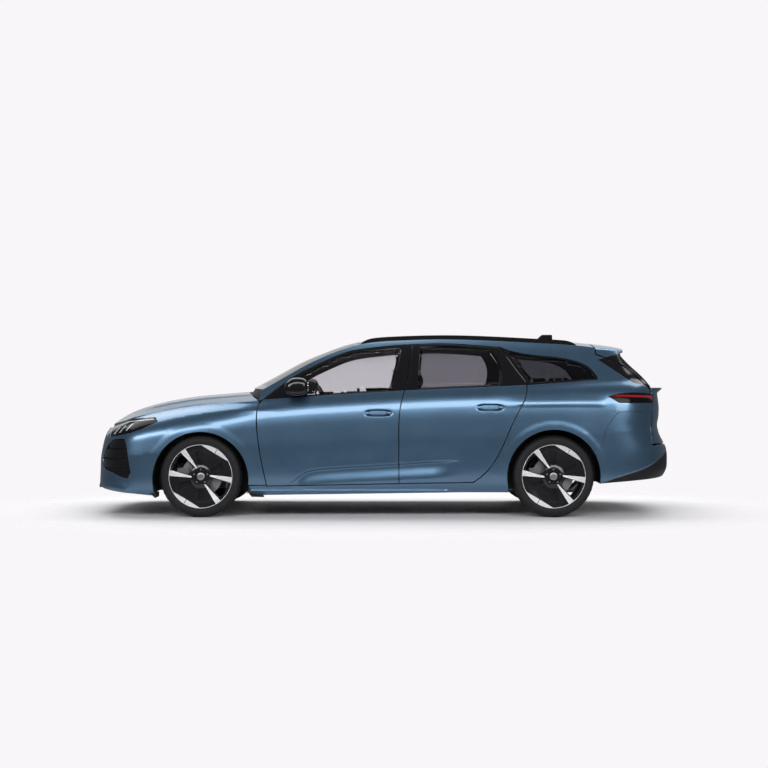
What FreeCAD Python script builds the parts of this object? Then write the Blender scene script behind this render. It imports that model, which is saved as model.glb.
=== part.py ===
import FreeCAD, Part
import math
import os

os.makedirs("parts", exist_ok=True)
Vector = FreeCAD.Vector

# A five-door station wagon. Millimetres: X runs from the nose to the tail, Y to the right-hand
# side, Z up from the ground. The origin is on the ground, under the middle of the car.

# Driving dimensions
frontOverhang = 880.0
wheelbase = 2732.0
rearOverhang = 981.0
bodyWidth = 1852.0
bodyHeight = 1425.0
trackWidth = 1559.0

# Wheels
tyreRadius = 318.0
tyreWidth = 225.0
rimRadius = 246.0
rimWallRadius = 226.0
rimWall = 8.0
hubFaceOffset = 50.0
stubRadius = 20.0
pinGap = 0.5
discRadius = 160.0
discThick = 28.0
discSetback = 22.0

# Wheel arches, in the outer skin and in the liners behind it
archGap = 54.0
archDrop = 26.0
rearArchGap = 44.0
rearArchRise = 1.0
linerGap = 20.0
linerWall = 4.0

# Panels and gaps
shutGap = 6.0
fixedGap = 0.5
seatGap = 0.3
doorDepth = 110.0
doorFrameDepth = 46.0
doorDraft = 0.42
sideDepth = 135.0
pillarDepth = 62.0
wingDepth = 46.0
bumperDepth = 46.0
bonnetDepth = 26.0
roofDepth = 30.0
glassThick = 5.0
glassInset = 7.0
glassGap = 0.4
floorThick = 22.0

# The form tables are drawn on a grid of this size and then placed on the driving dimensions.
gridNose = -2318.0
gridFrontAxle = -1438.0
gridRearAxle = 1294.0
gridTail = 2275.0
gridHalfWidth = 926.0
gridHeight = 1425.0

noseX = -(frontOverhang + wheelbase + rearOverhang) / 2
frontAxleX = noseX + frontOverhang
rearAxleX = frontAxleX + wheelbase
tailX = rearAxleX + rearOverhang
axlePairs = [(gridNose, noseX), (gridFrontAxle, frontAxleX), (gridRearAxle, rearAxleX), (gridTail, tailX)]


def between(pairs, value):
    """Straight interpolation through sorted pairs, carried on past both ends."""
    last = len(pairs) - 2
    index = 0
    while index < last and value > pairs[index + 1][0]:
        index += 1
    (a, fa), (b, fb) = pairs[index], pairs[index + 1]
    return fa + (fb - fa) * (value - a) / (b - a)


def along(gx):
    return between(axlePairs, gx)


def gridAlong(x):
    return between([(car, grid) for grid, car in axlePairs], x)


def across(gy):
    return gy * bodyWidth / 2 / gridHalfWidth


def above(gz):
    return gz * bodyHeight / gridHeight


def gridAbove(z):
    return z * gridHeight / bodyHeight


# Cutters for the left-hand side start this far out, clear of the widest point
outside = across(gridHalfWidth) + 200


def through(pairs, value):
    """Smooth interpolation through sorted pairs, without overshoot."""
    if value <= pairs[0][0]:
        return pairs[0][1]
    if value >= pairs[-1][0]:
        return pairs[-1][1]
    slopes = [(q[1] - p[1]) / (q[0] - p[0]) for p, q in zip(pairs, pairs[1:])]
    index = 0
    while value > pairs[index + 1][0]:
        index += 1

    def tangent(i):
        if i == 0 or i == len(pairs) - 1:
            return slopes[0] if i == 0 else slopes[-1]
        if slopes[i - 1] * slopes[i] <= 0:
            return 0.0
        return 2 * slopes[i - 1] * slopes[i] / (slopes[i - 1] + slopes[i])

    (a, fa), (b, fb) = pairs[index], pairs[index + 1]
    t = (value - a) / (b - a)
    rise = (2 * t ** 3 - 3 * t ** 2 + 1) * fa + (3 * t ** 2 - 2 * t ** 3) * fb
    run = (t ** 3 - 2 * t ** 2 + t) * tangent(index) + (t ** 3 - t ** 2) * tangent(index + 1)
    return rise + run * (b - a)


# Form tables, all on the grid. Side of the body: (station, value).
widestHalf = [(-1810, 905), (-1438, 924), (-1000, 913), (-500, 911), (0, 912), (500, 916),
              (1000, 923), (1293, 926), (1665, 910), (2275, 905)]
sillHeight = [(-1062, 172), (940, 199)]
beltHeight = [(-2318, 650), (-2150, 705), (-2016, 765), (-1802, 812), (-1438, 872), (-1200, 893),
              (-969, 910), (106, 980), (1079, 1025), (1679, 1068), (2275, 1085)]
beltInset = [(-2300, 235), (-1802, 215), (-1438, 185), (-1200, 130), (-969, 80), (-500, 66),
             (500, 66), (1079, 78), (1293, 92), (1679, 112), (2275, 120)]
# (share of the height from sill to belt, inset), at the foot of the side and at its shoulder
footInset = [(0.0, 58), (0.06, 30), (0.13, 16), (0.19, 24), (0.26, 13), (0.42, 4), (0.6, 0), (1.0, 0)]
shoulderShare = [(0.6, 0.0), (0.72, 0.03), (0.80, 0.10), (0.88, 0.28), (0.94, 0.56), (1.0, 1.0)]
# (height over the belt, lean inwards)
windowLean = [(0, 0), (60, 32), (150, 86), (250, 150), (349, 232), (400, 282), (480, 372)]
# Ends of the body: (height, station of the middle)
noseProfile = [(172, -2318), (290, -2313), (450, -2308), (515, -2297), (580, -2285), (644, -2270),
               (677, -2254), (709, -2225)]
tailProfile = [(172, 2130), (261, 2170), (293, 2235), (389, 2275), (454, 2275), (518, 2267), (582, 2235),
               (647, 2203), (711, 2190), (776, 2203), (840, 2206), (936, 2196), (1001, 2190),
               (1045, 2160), (1185, 2030), (1290, 1960)]
noseJoin = -1810.0
tailJoin = 1665.0
capPower = 3.0
# Middle lines: (station, height)
bonnetMiddle = [(-2240, 700), (-2144, 770), (-2011, 832), (-1879, 872), (-1746, 900), (-1547, 932),
                (-1347, 950), (-1148, 966), (-1000, 978)]
roofMiddle = [(-400, 1338), (-218, 1380), (0, 1408), (200, 1420), (400, 1425), (650, 1423), (900, 1414),
              (1200, 1397), (1500, 1378), (1641, 1365), (1885, 1334), (1925, 1318)]
screenMiddle = [(-1082, 1000), (-882, 1108), (-683, 1216), (-484, 1299), (-351, 1347), (-262, 1372)]
# How flat the panels that cross the car stay before they fall away to their edges
bonnetPower = 2.2
roofPower = 2.4


def sideHalf(gx, gz):
    """Half width of the side form before the ends round it off."""
    sill = between(sillHeight, gx)
    belt = through(beltHeight, gx)
    inset = through(beltInset, gx)
    share = (gz - sill) / (belt - sill)
    half = through(widestHalf, gx) - through(footInset, share) - inset * through(shoulderShare, share)
    return half - through(windowLean, gz - belt)


def endShare(reach):
    return max(0.0, 1 - min(1.0, max(0.0, reach)) ** capPower) ** (1 / capPower)


def half(gx, gz):
    """Half width of the body at a station and height."""
    front = (noseJoin - gx) / (noseJoin - through(noseProfile, gz))
    back = (gx - tailJoin) / (through(tailProfile, gz) - tailJoin)
    return sideHalf(gx, gz) * endShare(front) * endShare(back)


def onSide(x, z):
    """Point of the left-hand side skin, for a real station and height."""
    return Vector(x, -across(half(gridAlong(x), gridAbove(z))), z)


def endPoint(gz, share, profile, join):
    """Point of the nose or tail skin: share runs from -1 (left) over 0 (middle) to 1 (right)."""
    middle = through(profile, gz)
    turn = share * math.pi / 2
    gx = join + (middle - join) * abs(math.cos(turn)) ** (2 / capPower)
    gy = sideHalf(gx, gz) * math.copysign(abs(math.sin(turn)) ** (2 / capPower), turn)
    return Vector(along(gx), across(gy), above(gz))


# Solids from grids of points, and outlines from short tables
def thickPatch(outer, inner):
    """A curved slab: two smooth faces through grids of points, and ruled edges between them."""
    skins = []
    for grid in (outer, inner):
        surface = Part.BSplineSurface()
        surface.interpolate(grid)
        skins.append(surface)
    faces = [surface.toShape() for surface in skins]
    edges = []
    for surface in skins:
        u0, u1, v0, v1 = surface.bounds()
        sides = [surface.uIso(u0), surface.uIso(u1), surface.vIso(v0), surface.vIso(v1)]
        edges.append([side.toShape() for side in sides])
    for a, b in zip(*edges):
        faces.append(Part.makeRuledSurface(a, b))
    shell = Part.Shell(faces)
    shell.sewShape()
    solid = Part.Solid(shell)
    if solid.Volume < 0:
        solid.reverse()
    return solid


def spots(points, count):
    """Evenly spread points on the smooth curve through an outline's points."""
    curve = Part.BSplineCurve()
    curve.interpolate([Vector(p[0], 0, p[1]) for p in points])
    first, last = curve.FirstParameter, curve.LastParameter
    values = [curve.value(first + (last - first) * i / (count - 1)) for i in range(count)]
    return [(v.x, v.z) for v in values]


def insetLoop(sides, distance):
    """Move four sides that run round anticlockwise inwards, or outwards if it is negative."""
    loop = [p for side in sides for p in side[:-1]]
    moved = []
    for i, point in enumerate(loop):
        before, after = loop[i - 1], loop[(i + 1) % len(loop)]
        a = (point[0] - before[0], point[1] - before[1])
        b = (after[0] - point[0], after[1] - point[1])
        la, lb = math.hypot(*a), math.hypot(*b)
        na, nb = (-a[1] / la, a[0] / la), (-b[1] / lb, b[0] / lb)
        grow = distance / max(0.3, 1 + na[0] * nb[0] + na[1] * nb[1])
        moved.append((point[0] + (na[0] + nb[0]) * grow, point[1] + (na[1] + nb[1]) * grow))
    result = []
    start = 0
    for side in sides:
        stop = start + len(side) - 1
        result.append([moved[i % len(moved)] for i in range(start, stop + 1)])
        start = stop
    return result


sidePoints = 13


def outline(bottom, right, top, left, distance=0.0):
    """Four sides of an outline in real stations and heights: each is a short table of grid points."""
    sides = []
    for table in (bottom, right, top, left):
        placed = [(along(gx), above(gz)) for gx, gz in table]
        sides.append(spots(placed, sidePoints))
    return insetLoop(sides, distance)


def coons(sides, countU, countV):
    """Grid of points inside four sides."""
    bottom, right, top, left = sides
    low = spots(bottom, countU)
    high = spots(top[::-1], countU)
    near = spots(left[::-1], countV)
    far = spots(right, countV)
    rows = []
    for i in range(countU):
        u = i / (countU - 1)
        row = []
        for j in range(countV):
            v = j / (countV - 1)
            point = []
            for k in (0, 1):
                ruled = (1 - v) * low[i][k] + v * high[i][k] + (1 - u) * near[j][k] + u * far[j][k]
                corners = ((1 - u) * ((1 - v) * low[0][k] + v * high[0][k])
                           + u * ((1 - v) * low[-1][k] + v * high[-1][k]))
                point.append(ruled - corners)
            row.append(tuple(point))
        rows.append(row)
    return rows


def sidePanel(sides, depthAt, draft=0.0, start=0.0, countU=13, countV=13, forward=0.0):
    """A panel of the left-hand side: depthAt gives its thickness at a height over the belt."""
    outer, inner = [], []
    rows = coons(sides, countU, countV)
    for i, row in enumerate(rows):
        u = i / (countU - 1)
        skin = [onSide(x, z) for x, z in row]
        depths = [depthAt(p.z - above(through(beltHeight, gridAlong(p.x)))) for p in skin]
        outer.append([p + Vector(0, start, 0) for p in skin])
        inner.append([p + Vector(forward * d - draft * u * d, start + d, 0) for p, d in zip(skin, depths)])
    return thickPatch(outer, inner)


def flat(depth):
    return lambda over: depth


def sideTool(sides, depth=900.0):
    """A straight cutter through the left-hand side."""
    edges = []
    for side in sides:
        curve = Part.BSplineCurve()
        curve.interpolate([Vector(x, -outside, z) for x, z in side])
        edges.append(curve.toShape())
    return Part.Face(Part.Wire(edges)).extrude(Vector(0, depth, 0))


def prism(points, start, end):
    """A straight-sided block: (x, z) points, from one place across to another."""
    loop = [Vector(x, start, z) for x, z in points]
    return Part.Face(Part.makePolygon(loop + loop[:1])).extrude(Vector(0, end - start, 0))


def placed(table):
    return [(along(gx), above(gz)) for gx, gz in table]


def box(x0, x1, y0, y1, z0, z1):
    return Part.makeBox(x1 - x0, y1 - y0, z1 - z0, Vector(x0, y0, z0))


def cylinder(radius, start, end):
    return Part.makeCylinder(radius, (end - start).Length, start, end - start)


def mirrored(shape):
    return shape.mirror(Vector(0, 0, 0), Vector(0, 1, 0))


def keep(name, shapes):
    """Write a node: every solid of the shapes, in one STEP file."""
    solids = []
    for shape in shapes:
        solids += shape.Solids
    node = solids[0] if len(solids) == 1 else Part.makeCompound(solids)
    node.exportStep("parts/" + name + ".step")
    print(name, len(solids), "solids, valid:", node.isValid())


# Wheel arches
archRadius = tyreRadius + archGap
archZ = tyreRadius - archDrop
rearArchRadius = tyreRadius + rearArchGap
rearArchZ = tyreRadius + rearArchRise
wheelY = trackWidth / 2
archReach = 900.0


def archTool(x, z, radius):
    return cylinder(radius, Vector(x, -outside, z), Vector(x, archReach - outside, z))


frontArch = archTool(frontAxleX, archZ, archRadius)
rearArch = archTool(rearAxleX, rearArchZ, rearArchRadius)

# Shut lines of the side, as (station, height)
doorLead = [(-925, 244), (-956, 388), (-995, 626), (-1002, 808), (-990, 872), (-934, 932)]
doorRoofFront = [(-934, 932), (-685, 1112), (-500, 1206), (-311, 1284), (-100, 1320), (107, 1340), (204, 1345)]
doorSeam = [(97, 263), (95, 640), (112, 877), (144, 995), (204, 1345)]
doorRoofRear = [(204, 1345), (402, 1352), (650, 1342), (889, 1322)]
doorTail = [(674, 272), (777, 360), (969, 715), (1044, 862), (1087, 973), (1085, 1040), (1040, 1108), (965, 1218),
            (889, 1322)]
doorFoot = [(-925, 244), (97, 263)]
doorFootRear = [(97, 263), (674, 272)]

frontDoorLines = (doorFoot, doorSeam, doorRoofFront[::-1], doorLead[::-1])
rearDoorLines = (doorFootRear, doorTail, doorRoofRear[::-1], doorSeam[::-1])
frontWindowLines = ([(-770, 934), (40, 984)], [(40, 984), (125, 1322)],
                    [(125, 1322), (-100, 1303), (-311, 1266), (-500, 1186), (-655, 1108)],
                    [(-655, 1108), (-770, 934)])
rearWindowLines = ([(243, 997), (887, 1024)], [(887, 1024), (894, 1172), (813, 1305)],
                   [(813, 1305), (650, 1324), (402, 1335), (266, 1330)], [(266, 1330), (243, 997)])
quarterWindowLines = ([(1120, 1042), (1630, 1076)], [(1630, 1076), (1575, 1152)],
                      [(1575, 1152), (1490, 1196), (1232, 1240), (945, 1292)], [(945, 1292), (1120, 1042)])


def doorDepthAt(over):
    return through([(-110, doorDepth), (40, doorFrameDepth)], over)


def sideDepthAt(over):
    return through([(-260, sideDepth), (20, pillarDepth)], over)


# Doors and their panes
doorLoops = {"front": outline(*frontDoorLines, shutGap / 2), "rear": outline(*rearDoorLines, shutGap / 2)}
windowLoops = {"front": outline(*frontWindowLines), "rear": outline(*rearWindowLines)}
panels = {}
doors = {}
panes = {}
for name, loop in doorLoops.items():
    panels[name] = sidePanel(loop, doorDepthAt, draft=doorDraft, countV=17)
    doors[name] = panels[name].cut(sideTool(windowLoops[name]))
    panes[name] = sidePanel(insetLoop(windowLoops[name], glassGap), flat(glassThick), start=glassInset)
roomOutside = 60.0
roomInside = 300.0
doorRoomGap = 1.25 * shutGap
doorRooms = {}
for name, loop in doorLoops.items():
    grown = insetLoop(loop, -doorRoomGap)
    doorRooms[name] = sidePanel(grown, flat(roomInside + roomOutside), start=-roomOutside, countV=17)
for name in doors:
    keep(name + "_door_left", [doors[name]])
    keep(name + "_door_right", [mirrored(doors[name])])
    keep(name + "_door_window_left", [panes[name]])
    keep(name + "_door_window_right", [mirrored(panes[name])])


# Bonnet, and the room it needs
def crossRows(stationAt, halfAt, heightAt, countU, countS):
    """Grid of points on a panel that crosses the car: u runs back, s runs from -1 to 1 across."""
    rows = []
    for i in range(countU):
        u = i / (countU - 1)
        row = []
        for j in range(countS):
            s = 2 * j / (countS - 1) - 1
            row.append(Vector(stationAt(u, s), s * halfAt(u), heightAt(u, s)))
        rows.append(row)
    return rows


def lowered(rows, shift):
    return [[p + shift for p in row] for row in rows]


bonnetFront = -2238.0
bonnetFrontEdge = -2060.0
bonnetRear = -1118.0
bonnetRearEdge = -1000.0


def bonnetStations(u):
    middle = bonnetFront + (bonnetRear - bonnetFront) * u
    edge = bonnetFrontEdge + (bonnetRearEdge - bonnetFrontEdge) * u
    return middle, edge


def bonnetStation(u, s):
    middle, edge = bonnetStations(u)
    return along(middle + (edge - middle) * abs(s) ** bonnetPower)


def bonnetHalf(u):
    edge = bonnetStations(u)[1]
    return across(half(edge, through(beltHeight, edge))) - shutGap


def bonnetHeight(u, s):
    middle, edge = bonnetStations(u)
    top = above(through(bonnetMiddle, middle))
    low = above(through(beltHeight, edge))
    return top + (low - top) * abs(s) ** bonnetPower


bonnetRows = crossRows(bonnetStation, bonnetHalf, bonnetHeight, 12, 11)
bonnet = thickPatch(bonnetRows, lowered(bonnetRows, Vector(0, 0, -bonnetDepth)))
keep("bonnet", [bonnet])
bonnetRoomReach = 1.8 * shutGap
bonnetRoomUnder = 3 * shutGap
bonnetRoomOver = 80.0


def bonnetRoomRows(rise):
    """The bonnet's outline grown by the shut gap, at a height over or under its skin."""
    rows = []
    for i, row in enumerate(bonnetRows):
        reach = bonnetRoomReach * (2 * i / (len(bonnetRows) - 1) - 1)
        grown = []
        for j, p in enumerate(row):
            s = 2 * j / (len(row) - 1) - 1
            grown.append(p + Vector(reach, s * bonnetRoomReach, rise))
        rows.append(grown)
    return rows


bonnetRoom = thickPatch(bonnetRoomRows(bonnetRoomOver), bonnetRoomRows(-bonnetDepth - bonnetRoomUnder))

# Side frame: sill, pillars, roof edge and rear quarter, with the door openings cut through
frameLines = ([(-1060, 172), (2075, 214)], [(2075, 214), (2075, 600), (2070, 950), (1990, 1110), (1840, 1235),
               (1645, 1320)],
              [(1645, 1320), (1500, 1337), (1232, 1354), (885, 1373), (402, 1386), (107, 1378), (-200, 1348),
               (-330, 1312), (-560, 1218), (-765, 1105), (-965, 990)],
              [(-965, 990), (-1010, 880), (-1060, 172)])
frameLoop = outline(*frameLines)
side = sidePanel(frameLoop, sideDepthAt, countU=19, countV=21)
side = side.cut([doorRooms["front"], doorRooms["rear"], frontArch, rearArch, bonnetRoom])
quarterLoop = outline(*quarterWindowLines)
side = side.cut(sideTool(quarterLoop))
postReach = 500.0
cornerReach = 300.0
# What stands in front of the door's leading edge, above the sill, belongs to the wing
wingTail = [(-1200, 246), (-900, 246), (-900, 910), (-1200, 910)]
side = side.cut(prism(placed(wingTail), -outside, -postReach))
# The bumper's corner and the tail lamp are cut out of the quarter
bumperSeam = [(1640, 500), (1668, 600), (1720, 725), (1793, 817), (2090, 824)]
underSeam = [(1600, 0), (1600, 500)] + bumperSeam + [(2400, 824), (2400, 0)]
side = side.cut(prism(placed(underSeam), -outside, -cornerReach))
# The rear edge of the roof, the pillar's slope and the tailgate's rebate
pillarSlope = [(1640, 1262), (1857, 1169), (2015, 1032), (2076, 981)]
overSlope = [(1640, 1500)] + pillarSlope + [(2300, 985), (2300, 1500)]
side = side.cut(prism(placed(overSlope), -outside, -cornerReach))
rebateDepth = 24.0
gateRise = 20.0
lipThick = 5.0
rebateStation = 2075.0
rebateRear = along(rebateStation)


def rebateHalf(gz):
    return across(half(rebateStation, gz)) - lipThick


rebateHeights = [556 + 20 * i for i in range(23)]
rebateLoop = [Vector(rebateRear - rebateDepth, -rebateHalf(gz), above(gz)) for gz in rebateHeights]
for gz in (rebateHeights[-1], rebateHeights[0]):
    rebateLoop.append(Vector(rebateRear - rebateDepth, -cornerReach, above(gz)))
rebate = Part.Face(Part.makePolygon(rebateLoop + rebateLoop[:1])).extrude(Vector(200, 0, 0))
side = side.cut(rebate)
lampLines = ([(1800, 886), (2090, 884)], [(2090, 884), (2090, 954)],
             [(2090, 954), (1790, 957), (1713, 938)], [(1713, 938), (1800, 886)])
lampLoop = outline(*lampLines)
side = side.cut(sideTool(lampLoop))
# The bumper's side panel and the seam round it
cornerLines = ([(1648, 262), (2112, 262)], [(2112, 262), (2112, 560), (2094, 822)], [(2094, 822), (1795, 815)],
               [(1795, 815), (1722, 725), (1670, 600), (1648, 500), (1648, 262)])
cornerLoop = outline(*cornerLines, fixedGap)
side = side.cut(sideTool(insetLoop(cornerLoop, -2 * fixedGap)))

# Middle post, hinge posts, and rubber buffers that the shut doors rest on
postThick = 50.0
postLines = ([(10, 215), (170, 215)], [(170, 215), (175, 900), (245, 1360)], [(245, 1360), (145, 1360)],
             [(145, 1360), (60, 900), (10, 215)])
postLoop = outline(*postLines)


def postStartAt(over):
    return through([(-110, doorDepth + 20), (40, doorFrameDepth + 1.4 * shutGap)], over)


def postEndAt(over):
    return through([(-110, doorDepth + postThick), (60, doorFrameDepth + postThick), (300, pillarDepth)], over)


rows = coons(postLoop, 4, 23)
postOuter, postInner = [], []
for row in rows:
    skin = [onSide(x, z) for x, z in row]
    over = [p.z - above(through(beltHeight, gridAlong(p.x))) for p in skin]
    postOuter.append([p + Vector(0, postStartAt(o), 0) for p, o in zip(skin, over)])
    postInner.append([p + Vector(0, postEndAt(o), 0) for p, o in zip(skin, over)])
post = thickPatch(postOuter, postInner)
hingePost = [box(along(-1060), along(-1010), across(-800), across(-735), above(200), above(760)),
             box(along(-1060), along(-965), across(-762), across(-735), above(200), above(870))]
bufferLong = 22.0
bufferTall = 40.0
bufferOuter = across(915) - doorDepth
bufferInner = across(872) - doorDepth
buffers = []
for name, gx in (("front", 18), ("rear", 130)):
    for gz in (420, 700):
        buffer = box(along(gx), along(gx + bufferLong), -bufferOuter, -bufferInner,
                     above(gz), above(gz + bufferTall))
        buffers.append(buffer.cut(panels[name].translated(Vector(0, seatGap, 0))))
side = side.fuse([post] + hingePost + buffers)
side = side.cut(bonnetRoom)
keep("side_frame_left", [side])
keep("side_frame_right", [mirrored(side)])
quarterPane = sidePanel(insetLoop(quarterLoop, glassGap), flat(glassThick), start=glassInset)
keep("quarter_windows", [quarterPane, mirrored(quarterPane)])
tailLampDepth = 70.0
tailLamp = sidePanel(insetLoop(lampLoop, fixedGap), flat(tailLampDepth)).cut(rebate)
keep("tail_lamps", [tailLamp, mirrored(tailLamp)])

# Roof, windscreen, bonnet and scuttle
frameTop = spots(frameLoop[2][::-1], 61)
roofGap = 1.4
roofEdgeRise = 2.0


def frameTopZ(x):
    return between(frameTop, x)


def roofEdge(x):
    """Half width of the roof panel, which lies between the side frames."""
    z = frameTopZ(x)
    return -onSide(x, z).y - pillarDepth - roofGap


roofFront = along(-258)
roofFrontEdge = along(-196)
roofRear = along(1640)


def roofStation(u, s):
    front = roofFront + (roofFrontEdge - roofFront) * s * s
    return front + (roofRear - front) * u


def roofHeight(u, s):
    x = roofStation(u, s)
    middle = above(through(roofMiddle, gridAlong(x)))
    edge = frameTopZ(roofStation(u, 1)) + roofEdgeRise
    return middle + (edge - middle) * abs(s) ** roofPower


roofRows = crossRows(roofStation, lambda u: roofEdge(roofStation(u, 1)), roofHeight, 14, 9)
roof = thickPatch(roofRows, lowered(roofRows, Vector(0, 0, -roofDepth))).cut([side, mirrored(side)])
keep("roof_panel", [roof])

screenGap = 1.2
screenEdge = [(-965, 990), (-765, 1105), (-560, 1218), (-330, 1312), (-204, 1347)]
screenShift = Vector(0.55, 0, -0.84)
screenSpots = spots(placed(screenEdge), 9)
screenMiddleSpots = spots(placed(screenMiddle), 9)
screenRows = []
for (edgeX, edgeZ), (midX, midZ) in zip(screenSpots, screenMiddleSpots):
    edgeHalf = -onSide(edgeX, edgeZ).y - pillarDepth - screenGap
    row = []
    for j in range(9):
        s = j / 4 - 1
        row.append(Vector(midX + (edgeX - midX) * s * s, s * edgeHalf, midZ + (edgeZ - midZ) * s * s))
    screenRows.append(row)
screen = thickPatch(screenRows, lowered(screenRows, screenShift * glassThick))
keep("windscreen", [screen])

# Front wings: the skin behind the bumper and the headlamp, cut back to the bonnet's shut line
wingLines = ([(-1900, 250), (-928, 250)], [(-928, 250)] + doorLead[1:-1] + [(-985, 906)],
             [(-985, 906), (-1200, 893), (-1438, 872), (-1802, 812), (-2060, 748)],
             [(-2060, 748), (-1900, 250)])
wingLoop = insetLoop(outline(*wingLines), shutGap / 2)
wing = sidePanel(wingLoop, flat(wingDepth), countU=13, countV=13)
wing = wing.cut([frontArch, doorRooms["front"], bonnetRoom])
noseSeam = [(-1680, 560), (-1682, 648), (-1775, 742), (-1800, 774), (-2016, 758), (-2120, 730)]
wing = wing.cut(prism(placed([(-1680, 0)] + noseSeam + [(-2500, 730), (-2500, 0)]), -outside, -cornerReach))

scuttleThick = 14.0
scuttleDrop = 12.0
scuttleRows = []
for u in (0.0, 0.5, 1.0):
    row = []
    for j in range(9):
        s = j / 4 - 1
        front = Vector(bonnetStation(1, s) + bonnetRoomReach, s * (roofEdge(screenSpots[0][0]) - 2),
                       bonnetHeight(1, s) - scuttleDrop)
        base = screenRows[0][j] + screenShift * glassThick
        rear = Vector(base.x, front.y, base.z - glassGap)
        row.append(front + (rear - front) * u)
    scuttleRows.append(row)
scuttle = thickPatch(scuttleRows, lowered(scuttleRows, Vector(0, 0, -scuttleThick)))
keep("scuttle_panel", [scuttle])


# Bumpers
def endRows(profile, join, low, high, depth, side):
    """Rows of points of an end skin and its inner face; side is 1 at the nose and -1 at the tail."""
    outer, inner = [], []
    for i in range(15):
        share = i / 7 - 1
        turn = share * math.pi / 2
        column = [endPoint(low + (high - low) * j / 9, share, profile, join) for j in range(10)]
        shift = Vector(side * depth * math.cos(turn), -depth * math.sin(turn), 0)
        outer.append(column)
        inner.append([p + shift for p in column])
    return outer, inner


noseCap = thickPatch(*endRows(noseProfile, noseJoin, 190, 662, bumperDepth, 1))
bumperSideLines = ([(-1835, 190), (-1600, 190)], [(-1600, 190), (-1686, 648)], [(-1686, 648), (-1779, 738)],
                   [(-1779, 738), (-1835, 640), (-1835, 190)])
bumperSide = sidePanel(outline(*bumperSideLines), flat(bumperDepth))
bumperSide = bumperSide.cut(frontArch)
frontBumper = noseCap.fuse([bumperSide, mirrored(bumperSide)])
# Behind the seam the bumper ends
seamLine = [(-1680, 0)] + noseSeam[:4] + [(-1800, 1000), (-1000, 1000), (-1000, 0)]
seamBlock = prism(placed([(gx - fixedGap, gz) for gx, gz in seamLine]), -outside, -cornerReach)
frontBumper = frontBumper.cut([seamBlock, mirrored(seamBlock), bonnetRoom])
lampFrontLines = ([(-2172, 617), (-1931, 671), (-1783, 738)], [(-1783, 738), (-1803, 770)],
                  [(-1803, 770), (-2016, 752), (-2180, 697)], [(-2180, 697), (-2172, 617)])
headLoop = outline(*lampFrontLines)
headToolDepth = 700.0
headLampDepth = 60.0
headLampSlant = 0.5
headTool = sideTool(headLoop, depth=headToolDepth)
lampRoom = sidePanel(insetLoop(headLoop, -fixedGap), flat(headLampDepth + 2), forward=headLampSlant, start=-1.0)
frontBumper = frontBumper.cut([headTool, mirrored(headTool), lampRoom, mirrored(lampRoom)])
wing = wing.cut([headTool, lampRoom])
keep("front_wings", [wing, mirrored(wing)])
grilleHalf = 390.0
grilleLow = 350.0
grilleHigh = 640.0
grilleDepth = 30.0
grilleFrame = 25.0
slotLow = 22.0
slotTall = 24.0
slotPitch = 36.0
slotCount = 7
grilleHole = box(noseX - 50, noseX + 500, -across(grilleHalf), across(grilleHalf),
                 above(grilleLow), above(grilleHigh))
frontBumper = frontBumper.cut(grilleHole)
keep("front_bumper", [frontBumper])
headLamp = sidePanel(insetLoop(headLoop, fixedGap), flat(headLampDepth), forward=headLampSlant).cut(bonnetRoom)
keep("headlamps", [headLamp, mirrored(headLamp)])
grille = thickPatch(*endRows(noseProfile, noseJoin, grilleLow + 1, grilleHigh - 1, grilleDepth, 1))
grille = grille.common(box(noseX - 50, noseX + 400, -across(grilleHalf) + fixedGap, across(grilleHalf) - fixedGap,
                           above(grilleLow) + fixedGap, above(grilleHigh) - fixedGap))
slots = []
for i in range(slotCount):
    slotZ = above(grilleLow) + slotLow + i * slotPitch
    slots.append(box(noseX - 50, noseX + 400, grilleFrame - across(grilleHalf), across(grilleHalf) - grilleFrame,
                     slotZ, slotZ + slotTall))
grille = grille.cut(slots)
keep("grille", [grille])

tailCap = thickPatch(*endRows(tailProfile, tailJoin, 262, 552, bumperDepth, -1))
corner = sidePanel(cornerLoop, flat(bumperDepth))
# Under the cap's upper edge the corner panel only laps the cap, so that the two skins don't coincide
corner = corner.cut(box(along(1690), along(2300), -outside, 0, 0, above(540)))
rearBumper = tailCap.fuse([corner, mirrored(corner)])
rearBumper = rearBumper.cut([rearArch, mirrored(rearArch), rebate, mirrored(rebate)])
keep("rear_bumper", [rearBumper])

# Tailgate: lower panel, glass frame and the spoiler at the end of the roof
gateDepth = 46.0
gateLow = 562.0
gateHigh = 990.0
lowerOuter, lowerInner = [], []
for i in range(13):
    s = i / 6 - 1
    outerColumn, innerColumn = [], []
    for j in range(15):
        gz = gateLow + (gateHigh - gateLow) * j / 14
        y = s * (min(rebateHalf(gz), rebateHalf(gz + gateRise)) - 1.3 * shutGap)
        gy = y / across(1)
        reach = 0.0
        for k in range(30):
            gx = tailJoin + (through(tailProfile, gz) - tailJoin) * endShare(reach)
            reach = abs(gy) / sideHalf(gx, gz)
        outerColumn.append(Vector(along(gx), y, above(gz)))
        deep = max(along(gx) - gateDepth, rebateRear - rebateDepth + shutGap)
        innerColumn.append(Vector(deep, y, above(gz)))
    lowerOuter.append(outerColumn)
    lowerInner.append(innerColumn)
lowerGate = thickPatch(lowerOuter, lowerInner)

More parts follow.
